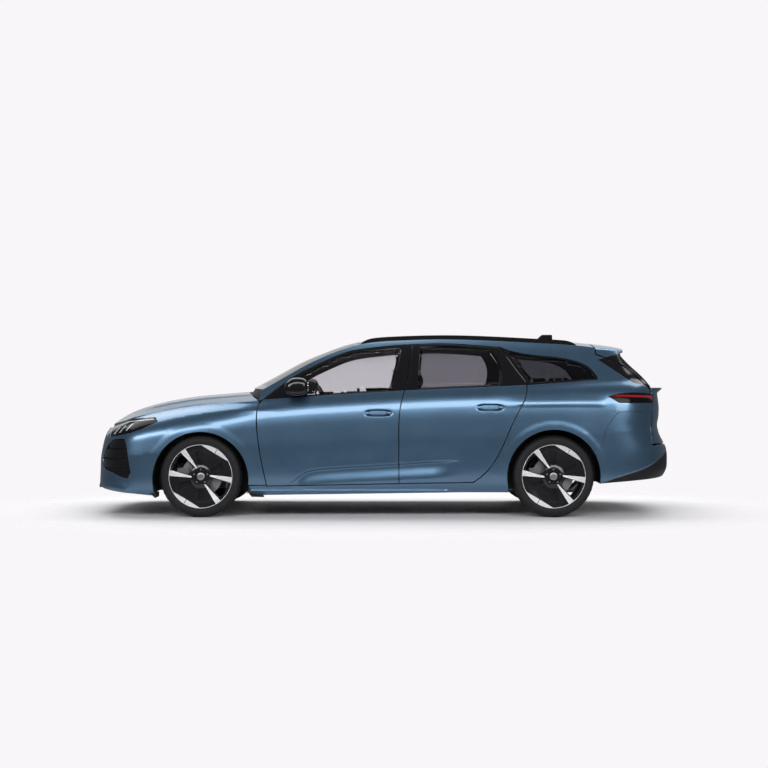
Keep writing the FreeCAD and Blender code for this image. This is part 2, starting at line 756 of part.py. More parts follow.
# Glass frame of the tailgate, along its middle line and along its edge
gateMiddle = [(2165, 980), (2125, 1024), (1945, 1185), (1880, 1322)]
gateEdge = [(2092, 980), (2058, 1044), (1902, 1196), (1815, 1292)]
gateShift = Vector(-0.62, 0, -0.78)
gateWall = 24.0
middleSpots = spots(placed(gateMiddle), 11)
edgeSpots = spots(placed(gateEdge), 11)
gateRows = []
for (mx, mz), (ex, ez) in zip(middleSpots, edgeSpots):
    wide = -onSide(ex, ez).y - 2 * shutGap
    row = []
    for j in range(11):
        s = j / 5 - 1
        fall = abs(s) ** roofPower
        row.append(Vector(mx + (ex - mx) * fall, s * wide, mz + (ez - mz) * fall))
    gateRows.append(row)
glassFrame = thickPatch(gateRows, lowered(gateRows, gateShift * gateWall))
gateSurface = Part.BSplineSurface()
gateSurface.interpolate(gateRows)


# The glass as shares of the frame: (start, length) from its foot up, and across
glassUp = (0.2, 0.58)
glassAcross = (0.09, 0.82)
frameLong = 380.0
frameWide = 1200.0


def gatePatch(inset, start, stop):
    """The tailgate's glass, or the hole for it, between two depths under the frame's skin."""
    u0, u1, v0, v1 = gateSurface.bounds()
    su = inset / frameLong
    sv = inset / frameWide
    rows = []
    for i in range(9):
        u = u0 + (u1 - u0) * (glassUp[0] + su + (glassUp[1] - 2 * su) * i / 8)
        row = []
        for j in range(9):
            share = glassAcross[0] + sv + (glassAcross[1] - 2 * sv) * j / 8
            row.append(gateSurface.value(u, v0 + (v1 - v0) * share))
        rows.append(row)
    return thickPatch(lowered(rows, gateShift * start), lowered(rows, gateShift * stop))


spoilerTip = 1925.0
spoilerTipEdge = 1868.0
spoilerFront = 52.0
spoilerEnd = 16.0
spoilerRoot = 1640.0
spoilerEdgeZ = 1322.0
spoilerEdgeFall = 26.0
spoilerHalf = 640.0
spoilerTaper = 40.0
spoilerRows, spoilerLow = [], []
for i in range(7):
    u = i / 6
    row, low = [], []
    for j in range(11):
        s = j / 5 - 1
        gx = spoilerRoot + (spoilerTip + (spoilerTipEdge - spoilerTip) * s * s - spoilerRoot) * u
        x = along(gx) + shutGap * (1 - u)
        middle = above(through(roofMiddle, gx))
        edge = above(spoilerEdgeZ - spoilerEdgeFall * u)
        z = middle + (edge - middle) * abs(s) ** roofPower
        y = s * (across(spoilerHalf - spoilerTaper * u) - shutGap)
        row.append(Vector(x, y, z))
        low.append(Vector(x, y, z - spoilerFront + (spoilerFront - spoilerEnd) * u))
    spoilerRows.append(row)
    spoilerLow.append(low)
spoiler = thickPatch(spoilerRows, spoilerLow)
tailgate = lowerGate.fuse([glassFrame, spoiler]).cut(gatePatch(0, -60, 80))
keep("tailgate", [tailgate])
gateGlassInset = 6.0
keep("tailgate_window", [gatePatch(glassGap, gateGlassInset, gateGlassInset + glassThick)])

# Roof rails on the flat tops of the side frames
railRows, railLow = [], []
railGap = 0.3
railHeight = 34.0
railWidth = 30.0
railFront = along(-205)
railRear = along(1500)
for i in range(15):
    u = i / 14
    x = railFront + (railRear - railFront) * u
    z = frameTopZ(x)
    y = onSide(x, z).y + pillarDepth / 2
    rise = railHeight * min(1.0, 0.12 + 14 * u * (1 - u))
    railRows.append([Vector(x, y + railWidth * (k - 0.5), z + railGap + rise) for k in (0, 0.5, 1)])
    railLow.append([Vector(x, y + railWidth * (k - 0.5), z + railGap) for k in (0, 0.5, 1)])
rail = thickPatch(railRows, railLow)
keep("roof_rails", [rail, mirrored(rail)])

# Door mirrors
mirrorX = along(-692)
mirrorZ = above(1012)
# (place across, half length, half height)
mirrorSections = [(-872, 55, 40), (-905, 84, 62), (-985, 92, 70), (-1020, 60, 52)]
mirrorSquareness = 0.6
mirrorWires = []
for gy, deep, high in mirrorSections:
    loop = []
    for k in range(12):
        a = k * math.pi / 6
        reach = math.copysign(abs(math.cos(a)) ** mirrorSquareness, math.cos(a))
        rise = math.copysign(abs(math.sin(a)) ** mirrorSquareness, math.sin(a))
        loop.append(Vector(mirrorX + deep * reach, across(gy), mirrorZ + high * rise))
    mirrorWires.append(Part.makePolygon(loop + loop[:1]))
housing = Part.makeLoft(mirrorWires, True, True)
arm = box(mirrorX - 50, mirrorX + 40, across(-900), across(-790), mirrorZ - 68, mirrorZ - 36)
doorFull = sidePanel(doorLoops["front"], flat(200.0), start=-0.3, countV=17)
mirror = housing.fuse(arm).cut(doorFull)
keep("door_mirror_left", [mirror])
keep("door_mirror_right", [mirrored(mirror)])

# Steering axis: from the lower ball joint to the top of the strut
ballY = -735.0
ballZ = 210.0
strutTopY = -560.0
strutTopZ = 862.0
ball = Vector(frontAxleX, ballY, ballZ)
strutTop = Vector(frontAxleX, strutTopY, strutTopZ)


def onAxis(z):
    return ball + (strutTop - ball) * ((z - ballZ) / (strutTopZ - ballZ))


# Wheels, with the brake disc on the hub
def turned(profile, x, z):
    loop = [Vector(x, -y, z + r) for y, r in profile]
    face = Part.Face(Part.makePolygon(loop + loop[:1]))
    return face.revolve(Vector(x, 0, z), Vector(0, 1, 0), 360)


rimHalfWidth = 108.0
rimIn = wheelY - rimHalfWidth
rimOut = wheelY + rimHalfWidth
mountY = wheelY + hubFaceOffset
discOut = mountY - discSetback
barrelIn = rimWallRadius - rimWall
hubRadius = 60.0
bellRadius = 78.0
bellDepth = 46.0
stubDepth = 150.0


def sector(x, z, inner, outer, a0, a1, y0, y1):
    """A ring sector about the axle, between two radii, two angles and two places across."""
    steps = 8
    loop = []
    for r, order in ((outer, range(steps + 1)), (inner, range(steps, -1, -1))):
        for k in order:
            a = math.radians(a0 + (a1 - a0) * k / steps)
            loop.append(Vector(x + r * math.cos(a), -y0, z + r * math.sin(a)))
    return Part.Face(Part.makePolygon(loop + loop[:1])).extrude(Vector(0, y0 - y1, 0))


windowAngles = [(126, 171), (306, 351)]
windowRadii = (92, 200)
pocketRadii = (120, 190)
pocketAngles = [(64, 84), (96, 116), (180, 200), (212, 232), (244, 264), (276, 296), (0, 20), (32, 52)]


def wheelAt(x):
    z = tyreRadius
    barrel = turned([(rimIn, rimRadius), (rimIn + 8, rimRadius), (rimIn + 12, rimWallRadius + 2),
                     (rimIn + 22, rimWallRadius), (rimOut - 22, rimWallRadius), (rimOut - 12, rimWallRadius + 2),
                     (rimOut - 8, rimRadius), (rimOut, rimRadius), (rimOut, rimRadius - 8),
                     (rimOut - 6, barrelIn + 6), (rimOut - 16, barrelIn), (rimIn + 16, barrelIn),
                     (rimIn, rimRadius - 10)], x, z)
    face = turned([(mountY + 22, hubRadius), (rimOut - 16, barrelIn + 2), (rimOut - 2, barrelIn + 6),
                   (mountY + 42, hubRadius)], x, z)
    hub = turned([(mountY, 0), (mountY, hubRadius + 14), (mountY + 22, hubRadius + 14), (mountY + 42, hubRadius),
                  (mountY + 42, 0)], x, z)
    bell = turned([(mountY - bellDepth, 0), (mountY - bellDepth, bellRadius), (mountY, bellRadius),
                   (mountY, 0)], x, z)
    disc = turned([(discOut - discThick, hubRadius), (discOut - discThick, discRadius), (discOut, discRadius),
                   (discOut, hubRadius)], x, z)
    stub = turned([(mountY - stubDepth, 0), (mountY - stubDepth, stubRadius), (mountY - bellDepth, stubRadius),
                   (mountY - bellDepth, 0)], x, z)
    wheel = barrel.fuse([face, hub, bell, disc, stub])
    cutters = [sector(x, z, *windowRadii, a0, a1, mountY + 4, rimOut + 20) for a0, a1 in windowAngles]
    cutters += [sector(x, z, *pocketRadii, a0, a1, mountY + 4, rimOut + 20) for a0, a1 in pocketAngles]
    return wheel.cut(cutters)


def tyreAt(x):
    gap = 0.4
    inner, outer = wheelY - tyreWidth / 2, wheelY + tyreWidth / 2
    r0 = rimWallRadius + 2 + gap
    profile = [(rimIn + 12 + gap, r0), (rimIn + 8 + gap, rimRadius), (inner, 274), (inner + 4, 296),
               (inner + 18, 312), (inner + 40, tyreRadius), (outer - 40, tyreRadius), (outer - 18, 312),
               (outer - 4, 296), (outer, 274), (rimOut - 8 - gap, rimRadius), (rimOut - 12 - gap, r0),
               (rimOut - 30, r0), (rimOut - 26, rimRadius), (outer - 12, 275), (outer - 22, 296),
               (outer - 44, 306), (inner + 44, 306), (inner + 22, 296), (inner + 12, 275),
               (rimIn + 26, rimRadius), (rimIn + 30, r0)]
    return turned(profile, x, tyreRadius)


for end, x in (("front", frontAxleX), ("rear", rearAxleX)):
    wheel = wheelAt(x)
    tyre = tyreAt(x)
    keep(end + "_wheel_left", [wheel])
    keep(end + "_wheel_right", [mirrored(wheel)])
    keep(end + "_tyre_left", [tyre])
    keep(end + "_tyre_right", [mirrored(tyre)])


def stubBore(x):
    """The bore that a wheel's stub turns in."""
    radius = stubRadius + pinGap
    return turned([(mountY - 200, 0), (mountY - 200, radius), (mountY, radius), (mountY, 0)], x, tyreRadius)


def upright(x):
    """Hub carrier with its brake caliper."""
    z = tyreRadius
    housing = turned([(mountY - 158, 0), (mountY - 158, 46), (mountY - 78, 46), (mountY - 78, 0)], x, z)
    caliper = box(x - 186, x - 96, -(discOut + 20), -(discOut - discThick - 34), z - 62, z + 62)
    slot = turned([(discOut - discThick - 4, 0), (discOut - discThick - 4, discRadius + 5),
                   (discOut + 4, discRadius + 5), (discOut + 4, 0)], x, z)
    bracket = box(x - 150, x - 20, -(mountY - 78), -(mountY - 92), z - 40, z + 40)
    return housing.fuse([caliper, bracket]).cut([slot, stubBore(x)])


pinRadius = 9.0
towerLow = 818.0
towerHigh = 832.0
strutRadius = 24.0
topPinRadius = 12.0
plateThick = 44.0
armHalfThick = 14.0
armTop = ballZ + armHalfThick
armLow = ballZ - armHalfThick
# (across, height) of the plate that joins the hub carrier to the strut
knucklePlate = [(-716, 236), (-752, 236), (-742, 330), (-672, 500), (-655, 590), (-618, 590), (-630, 500),
                (-690, 330)]
plateLoop = [Vector(frontAxleX - plateThick / 2, y, z) for y, z in knucklePlate]
plate = Part.Face(Part.makePolygon(plateLoop + plateLoop[:1])).extrude(Vector(plateThick, 0, 0))
pin = cylinder(pinRadius, onAxis(armLow - 4), onAxis(250))
strut = cylinder(strutRadius, onAxis(572), onAxis(towerLow - 14))
topPin = cylinder(topPinRadius, onAxis(towerLow - 20), onAxis(towerHigh + 2))
knuckle = upright(frontAxleX).fuse([plate, pin, strut, topPin]).cut(stubBore(frontAxleX))
keep("knuckle_left", [knuckle])
keep("knuckle_right", [mirrored(knuckle)])

# Front subframe and lower arms
beamHalf = 340.0
armRoot = 330.0
armEye = 26.0
rackRadius = 22.0
crossBeam = box(frontAxleX - 140, frontAxleX + 140, -beamHalf, beamHalf, ballZ - 20, ballZ + 50)
armLoop = [Vector(frontAxleX - 110, -armRoot, armLow), Vector(frontAxleX - armEye, ballY - armEye, armLow),
           Vector(frontAxleX + armEye, ballY - armEye, armLow), Vector(frontAxleX + 110, -armRoot, armLow)]
armPlate = Part.Face(Part.makePolygon(armLoop + armLoop[:1])).extrude(Vector(0, 0, armTop - armLow))
eye = cylinder(pinRadius + pinGap, onAxis(armLow - 40), onAxis(armTop + 40))
armPlate = armPlate.cut(eye)
rack = cylinder(rackRadius, Vector(frontAxleX + 100, -armRoot, ballZ + 64),
                Vector(frontAxleX + 100, armRoot, ballZ + 64))
subframe = crossBeam.fuse([armPlate, mirrored(armPlate), rack])
keep("front_subframe", [subframe])

# Rear axle: cross member, arms, hub carriers and dampers
rearUpright = upright(rearAxleX)
rearArm = box(rearAxleX - 60, rearAxleX + 40, -690, -320, 236, 268)
riser = box(rearAxleX - 30, rearAxleX + 30, -700, -672, 236, tyreRadius + 2)
damperRadius = 22.0
damper = cylinder(damperRadius, Vector(rearAxleX + 10, -520, 260), Vector(rearAxleX + 10, -500, 478))
rearBeam = box(rearAxleX - 120, rearAxleX + 120, -beamHalf, beamHalf, 240, 330)
leftHalf = rearUpright.fuse([rearArm, riser, damper]).cut(stubBore(rearAxleX))
rearAxle = rearBeam.fuse([leftHalf, mirrored(leftHalf)])
keep("rear_axle", [rearAxle])

# Floor, bulkhead, front rails and strut towers
floorZ = above(195)
floorTop = floorZ + floorThick
floorHalf = across(740)
bulkheadX = along(-1000)
stepX = along(900)
rearFloorZ = 480.0
sheetThick = 16.0
rearFloorThick = 20.0
tunnelHalf = 130.0
tunnelHeight = 80.0
railY0, railY1 = 430.0, 480.0
apronY0, apronY1 = 524.0, 540.0
tailX0, tailX1 = along(2150), along(2166)
noseX0, noseX1 = along(-2165), along(-2150)
striker = box(tailX0, along(2205), -20, 20, above(566), above(585))
bonnetRest = box(noseX0, noseX1, -30, 30, 440, above(748))
pieces = [box(bulkheadX, stepX, -floorHalf, floorHalf, floorZ, floorTop),
          box(bulkheadX, bulkheadX + sheetThick, -across(700), across(700), floorZ, above(850)),
          box(bulkheadX, along(460), -tunnelHalf, tunnelHalf, floorTop, floorTop + tunnelHeight),
          box(stepX - sheetThick, stepX, -across(530), across(530), floorZ, rearFloorZ + rearFloorThick),
          box(stepX - sheetThick, tailX1, -across(530), across(530), rearFloorZ, rearFloorZ + rearFloorThick),
          box(tailX0, tailX1, -across(500), across(500), rearFloorZ, above(552)),
          striker.cut(tailgate.translated(Vector(-seatGap, 0, 0))),
          box(tailX0, tailX1, -20, 20, above(545), above(585)),
          bonnetRest.cut(bonnet.translated(Vector(0, 0, -seatGap))),
          box(along(-2180), noseX1, -across(600), across(600), 400, 480)]


def sideBox(way, x0, x1, y0, y1, z0, z1):
    """A box on one side: way is -1 for the left-hand side and 1 for the right."""
    return box(x0, x1, min(way * y0, way * y1), max(way * y0, way * y1), z0, z1)


bayFront = frontAxleX - 160
bayRear = bulkheadX + 8
for way in (-1, 1):
    pieces += [sideBox(way, along(-2160), bayRear, railY0, railY1, 400, 470),
               sideBox(way, bayFront, bayRear, railY0, apronY1, 455, 470),
               sideBox(way, bayFront, bayRear, apronY0, apronY1, 545, 850),
               sideBox(way, bayFront, bayRear, railY1 - sheetThick, railY1, 455, 560),
               sideBox(way, bayFront, bayRear, railY1 - sheetThick, apronY1, 545, 560)]
    tower = sideBox(way, frontAxleX - 90, frontAxleX + 90, apronY0, 622, towerLow, towerHigh)
    hole = cylinder(topPinRadius + pinGap, onAxis(towerLow - 40), onAxis(towerHigh + 40))
    pieces.append(tower.cut(hole if way < 0 else mirrored(hole)))
floorPan = pieces[0].fuse(pieces[1:]).cut([side, mirrored(side)])
# Room for the steered tyre, under the upper shelf
for way in (-1, 1):
    room = sideBox(way, frontAxleX - 400, bulkheadX - 0.01, railY1 + 1, 700, 300, 544)
    floorPan = floorPan.cut(room)
# The loading board behind the rear seats
boardTop = rearFloorZ + 26
board = box(along(1130), along(2140), -across(500), across(500), rearFloorZ + rearFloorThick - 1, boardTop)
floorPan = floorPan.fuse(board)
# Four holes in the load floor, for M8 lashing eyes
lashingX = rearAxleX + 310
lashingPitchX = 650.0
lashingPitchY = 900.0
lashingHole = 4.25
lashingDepth = 30.0
for sx in (-0.5, 0.5):
    for sy in (-0.5, 0.5):
        foot = Vector(lashingX + sx * lashingPitchX, sy * lashingPitchY, rearFloorZ - 1)
        floorPan = floorPan.cut(cylinder(lashingHole, foot, foot + Vector(0, 0, lashingDepth)))
keep("floor_pan", [floorPan])


# Wheel arch liners
def liner(x, z, inner, y0, y1):
    shell = cylinder(inner + linerWall, Vector(x, -y1, z), Vector(x, -y0, z))
    shell = shell.cut(cylinder(inner, Vector(x, -y1 - 1, z), Vector(x, -y0 + 1, z)))
    return shell


frontLiner = liner(frontAxleX, archZ + 6, archRadius + linerGap, apronY1 + fixedGap, across(852))
frontLiner = frontLiner.cut([box(frontAxleX - 600, frontAxleX + 600, -1000, 0, -200, archZ + 60),
                             box(along(-1064), 0, -1000, 0, 0, 900),
                             cylinder(strutRadius + 14, onAxis(500), onAxis(900)), frontBumper])
rearLinerRadius = rearArchRadius + 8
rearLinerY = across(530) + fixedGap
rearLiner = liner(rearAxleX, rearArchZ, rearLinerRadius, rearLinerY, across(899) - sideDepth)
rearWall = cylinder(rearLinerRadius, Vector(rearAxleX, -rearLinerY - linerWall, rearArchZ),
                    Vector(rearAxleX, -rearLinerY, rearArchZ))
rearLiner = rearLiner.fuse(rearWall).cut([box(rearAxleX - 600, rearAxleX + 600, -1000, 0, -200, 480),
                                          box(rearAxleX - 600, rearAxleX + 600, -1000, 0, -200, 350)])
keep("wheel_arch_liners", [frontLiner, mirrored(frontLiner), rearLiner, mirrored(rearLiner)])

# Inside
dashProfile = placed([(-984, 600), (-984, 900), (-900, 915), (-760, 905), (-655, 870), (-620, 790), (-650, 640),
                      (-760, 560)])
dashHalf = across(715)
dash = prism(dashProfile, -dashHalf, dashHalf)
consoleHalf = 100.0
console = box(along(-700), along(60), -consoleHalf, consoleHalf, floorTop + tunnelHeight + fixedGap, 520).cut(dash)

# Steering wheel and its column, which leans back
wheelTilt = math.radians(24)
ringRadius = 182.0
ringTube = 15.0
bossRadius = 48.0
spokeRadius = 12.0
shaftRadius = 14.0
columnRadius = 26.0
steerHub = Vector(along(-470), -375, above(840))
columnWay = Vector(-math.cos(wheelTilt), 0, -math.sin(wheelTilt))
column = cylinder(columnRadius, steerHub + columnWay * 45, steerHub + columnWay * 280)
dash = dash.fuse([column, console])
dash = dash.cut(cylinder(shaftRadius + pinGap, steerHub, steerHub + columnWay * 120))
keep("dashboard", [dash])
ring = Part.makeTorus(ringRadius, ringTube, steerHub, columnWay)
boss = cylinder(bossRadius, steerHub - columnWay * 8, steerHub + columnWay * 36)
steerShaft = cylinder(shaftRadius, steerHub, steerHub + columnWay * 110)
spokeReach = ringRadius - 4
crossways = Vector(0, spokeReach, 0)
down = Vector(math.sin(wheelTilt), 0, -math.cos(wheelTilt)) * spokeReach
bar = cylinder(spokeRadius, steerHub - crossways, steerHub + crossways)
lowBar = cylinder(spokeRadius, steerHub, steerHub + down)
keep("steering_wheel", [ring.fuse([boss, bar, lowBar, steerShaft])])

# Seats, which stand just clear of the floor: (station, height) round each, from the floor up
seatFloor = floorTop / above(1)
frontSeatLine = [(-330, seatFloor), (-330, 430), (-300, 500), (60, 470), (190, 960), (210, 1120),
                 (290, 1115), (300, 950), (215, 480), (180, seatFloor)]
rearCushionLine = [(480, seatFloor), (470, 430), (500, 510), (880, 480), (880, seatFloor)]
frontSeatInner = 130.0
frontSeatOuter = across(620)
benchHalf = across(520)
lift = Vector(0, 0, seatGap)
frontSeat = prism(placed(frontSeatLine), -frontSeatOuter, -frontSeatInner).translated(lift)
rearCushion = prism(placed(rearCushionLine), -benchHalf, benchHalf).translated(lift)
benchFoot = rearFloorZ + rearFloorThick + seatGap
rearBack = prism([(along(900), benchFoot), (along(890), above(560)), (along(1010), above(1000)),
                  (along(1100), above(1000)), (along(1040), benchFoot)], -benchHalf, benchHalf)
keep("seats", [frontSeat, mirrored(frontSeat), rearCushion, rearBack])

# Engine, one plain block on the front rails
engineHalf = 360.0
engine = box(along(-1900), along(-1240), -engineHalf, engineHalf, 304, 800)
engine = engine.fuse(box(along(-1640), along(-1560), -railY0, railY0, 415, 450))
keep("engine", [engine])

# Exhaust, hung from the floor
pipeRadius = 28.0
pipeY = 60.0
pipeZ = 158.0
silencerHalf = 260.0
hangerLong = 12.0
pipe = cylinder(pipeRadius, Vector(along(-1060), pipeY, pipeZ), Vector(along(1560), pipeY, pipeZ))
silencer = box(along(1700), along(2000), -silencerHalf, silencerHalf, 300, 420)
riserPipe = cylinder(pipeRadius, Vector(along(1540), pipeY, pipeZ), Vector(along(1740), pipeY, 340))
hangers = []
for gx in (-900, -100, 800):
    hangers.append(box(along(gx), along(gx) + hangerLong, pipeY - 20, pipeY + 20, 160, floorZ))
hangers.append(box(along(1850), along(1850) + hangerLong, -200, 200, 410, rearFloorZ))
exhaust = pipe.fuse([silencer, riserPipe] + hangers)
keep("exhaust", [exhaust])
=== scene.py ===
import math

import bmesh
import bpy
import numpy as np
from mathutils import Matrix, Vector, geometry, kdtree


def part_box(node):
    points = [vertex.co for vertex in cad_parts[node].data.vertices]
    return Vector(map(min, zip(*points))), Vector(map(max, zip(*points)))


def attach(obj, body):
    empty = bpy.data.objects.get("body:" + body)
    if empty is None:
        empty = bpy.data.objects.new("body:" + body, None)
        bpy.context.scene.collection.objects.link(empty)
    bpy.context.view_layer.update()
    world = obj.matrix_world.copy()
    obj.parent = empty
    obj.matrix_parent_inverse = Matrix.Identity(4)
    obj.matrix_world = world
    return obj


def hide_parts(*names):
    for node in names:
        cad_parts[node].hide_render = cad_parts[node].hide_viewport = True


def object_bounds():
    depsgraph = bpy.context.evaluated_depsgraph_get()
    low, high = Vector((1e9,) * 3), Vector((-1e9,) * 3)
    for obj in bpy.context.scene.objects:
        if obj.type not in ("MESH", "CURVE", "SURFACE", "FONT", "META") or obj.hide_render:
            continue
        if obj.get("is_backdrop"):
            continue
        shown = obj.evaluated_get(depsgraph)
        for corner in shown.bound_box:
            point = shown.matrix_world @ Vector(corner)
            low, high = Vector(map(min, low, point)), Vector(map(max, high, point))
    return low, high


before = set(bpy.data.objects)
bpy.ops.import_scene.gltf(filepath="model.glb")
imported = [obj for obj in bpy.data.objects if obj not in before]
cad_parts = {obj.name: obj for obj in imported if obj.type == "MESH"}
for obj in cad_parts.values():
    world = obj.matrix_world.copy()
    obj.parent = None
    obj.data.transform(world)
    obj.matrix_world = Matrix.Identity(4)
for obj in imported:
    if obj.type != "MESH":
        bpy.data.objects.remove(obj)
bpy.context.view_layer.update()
print("frame loaded")

# The car stands on the ground with its nose towards -X and its left-hand side towards -Y.
# The form tables are in millimetres on the drawing grid; mm and gridShift turn them into metres.
mm = 0.001
tyreLow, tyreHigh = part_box("front_tyre_left")
rearTyreLow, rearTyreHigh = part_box("rear_tyre_left")
frontAxleX = (tyreLow.x + tyreHigh.x) / 2
rearAxleX = (rearTyreLow.x + rearTyreHigh.x) / 2
wheelY = -(tyreLow.y + tyreHigh.y) / 2
tyreRadius = (tyreHigh.z - tyreLow.z) / 2
gridFrontAxle = -1438.0
gridShift = frontAxleX / mm - gridFrontAxle
gridRearAxle = rearAxleX / mm - gridShift
cell = 17.0
fine = 0.7 * cell

# Form tables: (station, value) unless noted
widestHalf = [(-1810, 905), (-1438, 924), (-1000, 913), (-500, 911), (0, 912), (500, 916),
              (1000, 923), (1293, 926), (1665, 910), (2275, 905)]
sillHeight = [(-1062, 172), (940, 199)]
beltHeight = [(-2318, 650), (-2150, 705), (-2016, 765), (-1802, 812), (-1438, 872), (-1200, 893),
              (-969, 910), (106, 980), (1079, 1025), (1679, 1068), (2275, 1085)]
beltInset = [(-2300, 235), (-1802, 215), (-1438, 185), (-1200, 130), (-969, 80), (-500, 66),
             (500, 66), (1079, 78), (1293, 92), (1679, 112), (2275, 120)]
# (share of the height from sill to belt, inset)
footInset = [(-0.3, 90), (0, 56), (0.06, 34), (0.13, 21), (0.2, 14), (0.3, 8), (0.42, 4), (0.6, 0), (1, 0)]
shoulderShare = [(0.6, 0), (0.72, 0.03), (0.80, 0.10), (0.88, 0.28), (0.94, 0.56), (1, 1), (1.1, 1)]
# (height over the belt, lean inwards)
windowLean = [(-60, 0), (0, 0), (60, 32), (150, 86), (250, 150), (349, 232), (400, 282), (480, 372)]
# (height, station of the middle)
noseProfile = [(172, -2318), (290, -2313), (450, -2308), (515, -2297), (580, -2285), (644, -2270),
               (677, -2254), (709, -2225)]
tailProfile = [(172, 2130), (261, 2170), (293, 2235), (389, 2275), (454, 2275), (518, 2267), (582, 2235),
               (647, 2203), (711, 2190), (776, 2203), (840, 2206), (936, 2196), (1001, 2190),
               (1045, 2160), (1185, 2030), (1290, 1960)]
noseJoin = -1810.0
tailJoin = 1665.0
noseRun = 1180.0
tailRun = 1240.0
noseMiddle = noseJoin - noseRun
tailMiddle = tailJoin + tailRun
capPower = 3.0
# Middle lines: (station, height)
bonnetMiddle = [(-2240, 700), (-2144, 770), (-2011, 832), (-1879, 872), (-1746, 900), (-1547, 932),
                (-1347, 950), (-1148, 966), (-1000, 978)]
roofMiddle = [(-400, 1338), (-218, 1380), (0, 1408), (200, 1420), (400, 1425), (650, 1423), (900, 1414),
              (1200, 1397), (1500, 1378), (1641, 1365), (1885, 1334), (1925, 1318)]
screenMiddle = [(-1082, 1000), (-882, 1108), (-683, 1216), (-484, 1299), (-351, 1347), (-262, 1372)]


def through(pairs, value):
    # smooth interpolation without overshoot
    xs, ys = np.array(pairs, float).T
    value = np.clip(np.asarray(value, float), xs[0], xs[-1])
    slopes = np.diff(ys) / np.diff(xs)
    product = slopes[:-1] * slopes[1:]
    total = slopes[:-1] + slopes[1:]
    tangents = np.concatenate([slopes[:1], np.where(product > 0, 2 * product / np.where(total == 0, 1, total), 0),
                               slopes[-1:]])
    i = np.clip(np.searchsorted(xs, value, side="right") - 1, 0, len(xs) - 2)
    run = xs[i + 1] - xs[i]
    t = (value - xs[i]) / run
    rise = (2 * t ** 3 - 3 * t ** 2 + 1) * ys[i] + (3 * t ** 2 - 2 * t ** 3) * ys[i + 1]
    return rise + run * ((t ** 3 - 2 * t ** 2 + t) * tangents[i] + (t ** 3 - t ** 2) * tangents[i + 1])


def soft(pairs, width):
    # the same table with its bends spread over a width, so that reflections run on
    step = width / 6
    reach = 4 * width
    xs = np.arange(pairs[0][0] - reach, pairs[-1][0] + reach, step)
    ends = [(pairs[1][1] - pairs[0][1]) / (pairs[1][0] - pairs[0][0]),
            (pairs[-1][1] - pairs[-2][1]) / (pairs[-1][0] - pairs[-2][0])]
    ys = through(pairs, xs)
    ys = ys + np.minimum(xs - pairs[0][0], 0) * ends[0] + np.maximum(xs - pairs[-1][0], 0) * ends[1]
    taps = np.arange(-18, 19)
    weights = np.exp(-0.5 * (taps * step / width) ** 2)
    smooth = np.convolve(np.pad(ys, 18, mode="reflect", reflect_type="odd"), weights / weights.sum(), mode="valid")
    return lambda value: np.interp(value, xs, smooth)


softWidest = soft(widestHalf, 90)
softBelt = soft(beltHeight, 60)
softInset = soft(beltInset, 90)
softFoot = soft(footInset, 0.025)
softShoulder = soft(shoulderShare, 0.02)
softLean = soft(windowLean, 22)
softNose = soft(noseProfile, 14)
softTail = soft(tailProfile, 12)
softBonnet = soft(bonnetMiddle, 50)
softRoof = soft(roofMiddle, 60)


def sillAt(s):
    (a, fa), (b, fb) = sillHeight
    return fa + (fb - fa) * (s - a) / (b - a)


def ramp(value, start, stop):
    t = np.clip((value - start) / (stop - start), 0, 1)
    return t * t * (3 - 2 * t)


# The recess low on the doors: (station, height of its upper edge), and how deep it is
creaseLine = [(-900, 225), (-760, 268), (-680, 325), (-607, 372), (-450, 392), (94, 426), (570, 455), (900, 470)]
crease = {"depth": 24.0, "drop": 26.0, "lip": 3.0}
softCrease = soft(creaseLine, 22)
# Character lines: (station, height) of the line on the wing and of the one over the rear arch
wingCrease = [(-1900, 722), (-1785, 752), (-1630, 784), (-1476, 809), (-1240, 826), (-1014, 834), (-700, 842)]
rearCrease = [(700, 850), (900, 868), (1100, 880), (1400, 884), (1700, 880)]
softWingCrease = soft(wingCrease, 50)
softRearCrease = soft(rearCrease, 50)
# Wheel arches, front and rear
archStation = (gridFrontAxle, gridRearAxle)
archHeight = (292.0, 319.0)
archRadius = (372.0, 362.0)
flareRise = (2.0, 4.0)
flare = {"start": 26.0, "middle": 53.0, "stop": 80.0}

# Handles: (station, height, half length, half height) of the hollow behind each
handles = {"front": (-64, 808, 120, 30), "rear": (801, 851, 120, 31)}
handleRecess = {"depth": 13.0, "power": 3, "floor": 0.62}
facetOut = 20.0
diffuserIn = 9.0
wingRidge = {"out": 6.0, "width": 22.0}
rearRidge = {"out": 7.0, "over": 45.0, "under": 13.0}
skirt = {"top": 223.0, "tall": 18.0, "out": 12.0}
facetEdge = [(-3000, 372), (-2563, 370), (-2300, 326), (-2092, 292), (-1900, 286)]
diffuserLine = [(1640, 252), (1669, 262), (1850, 312), (2082, 375), (2330, 468), (2520, 522), (2910, 530)]
softFacet = soft(facetEdge, 25)
softDiffuser = soft(diffuserLine, 6)


def recess(s, z):
    # the hollows behind the door handles
    deep = np.zeros(np.broadcast(s, z).shape)
    power = handleRecess["power"]
    for station, height, long, high in handles.values():
        away = ((np.abs(s - station) / long) ** power + (np.abs(z - height) / high) ** power) ** (1 / power)
        deep = deep + handleRecess["depth"] * (1 - ramp(away, handleRecess["floor"], 1.0))
    return deep


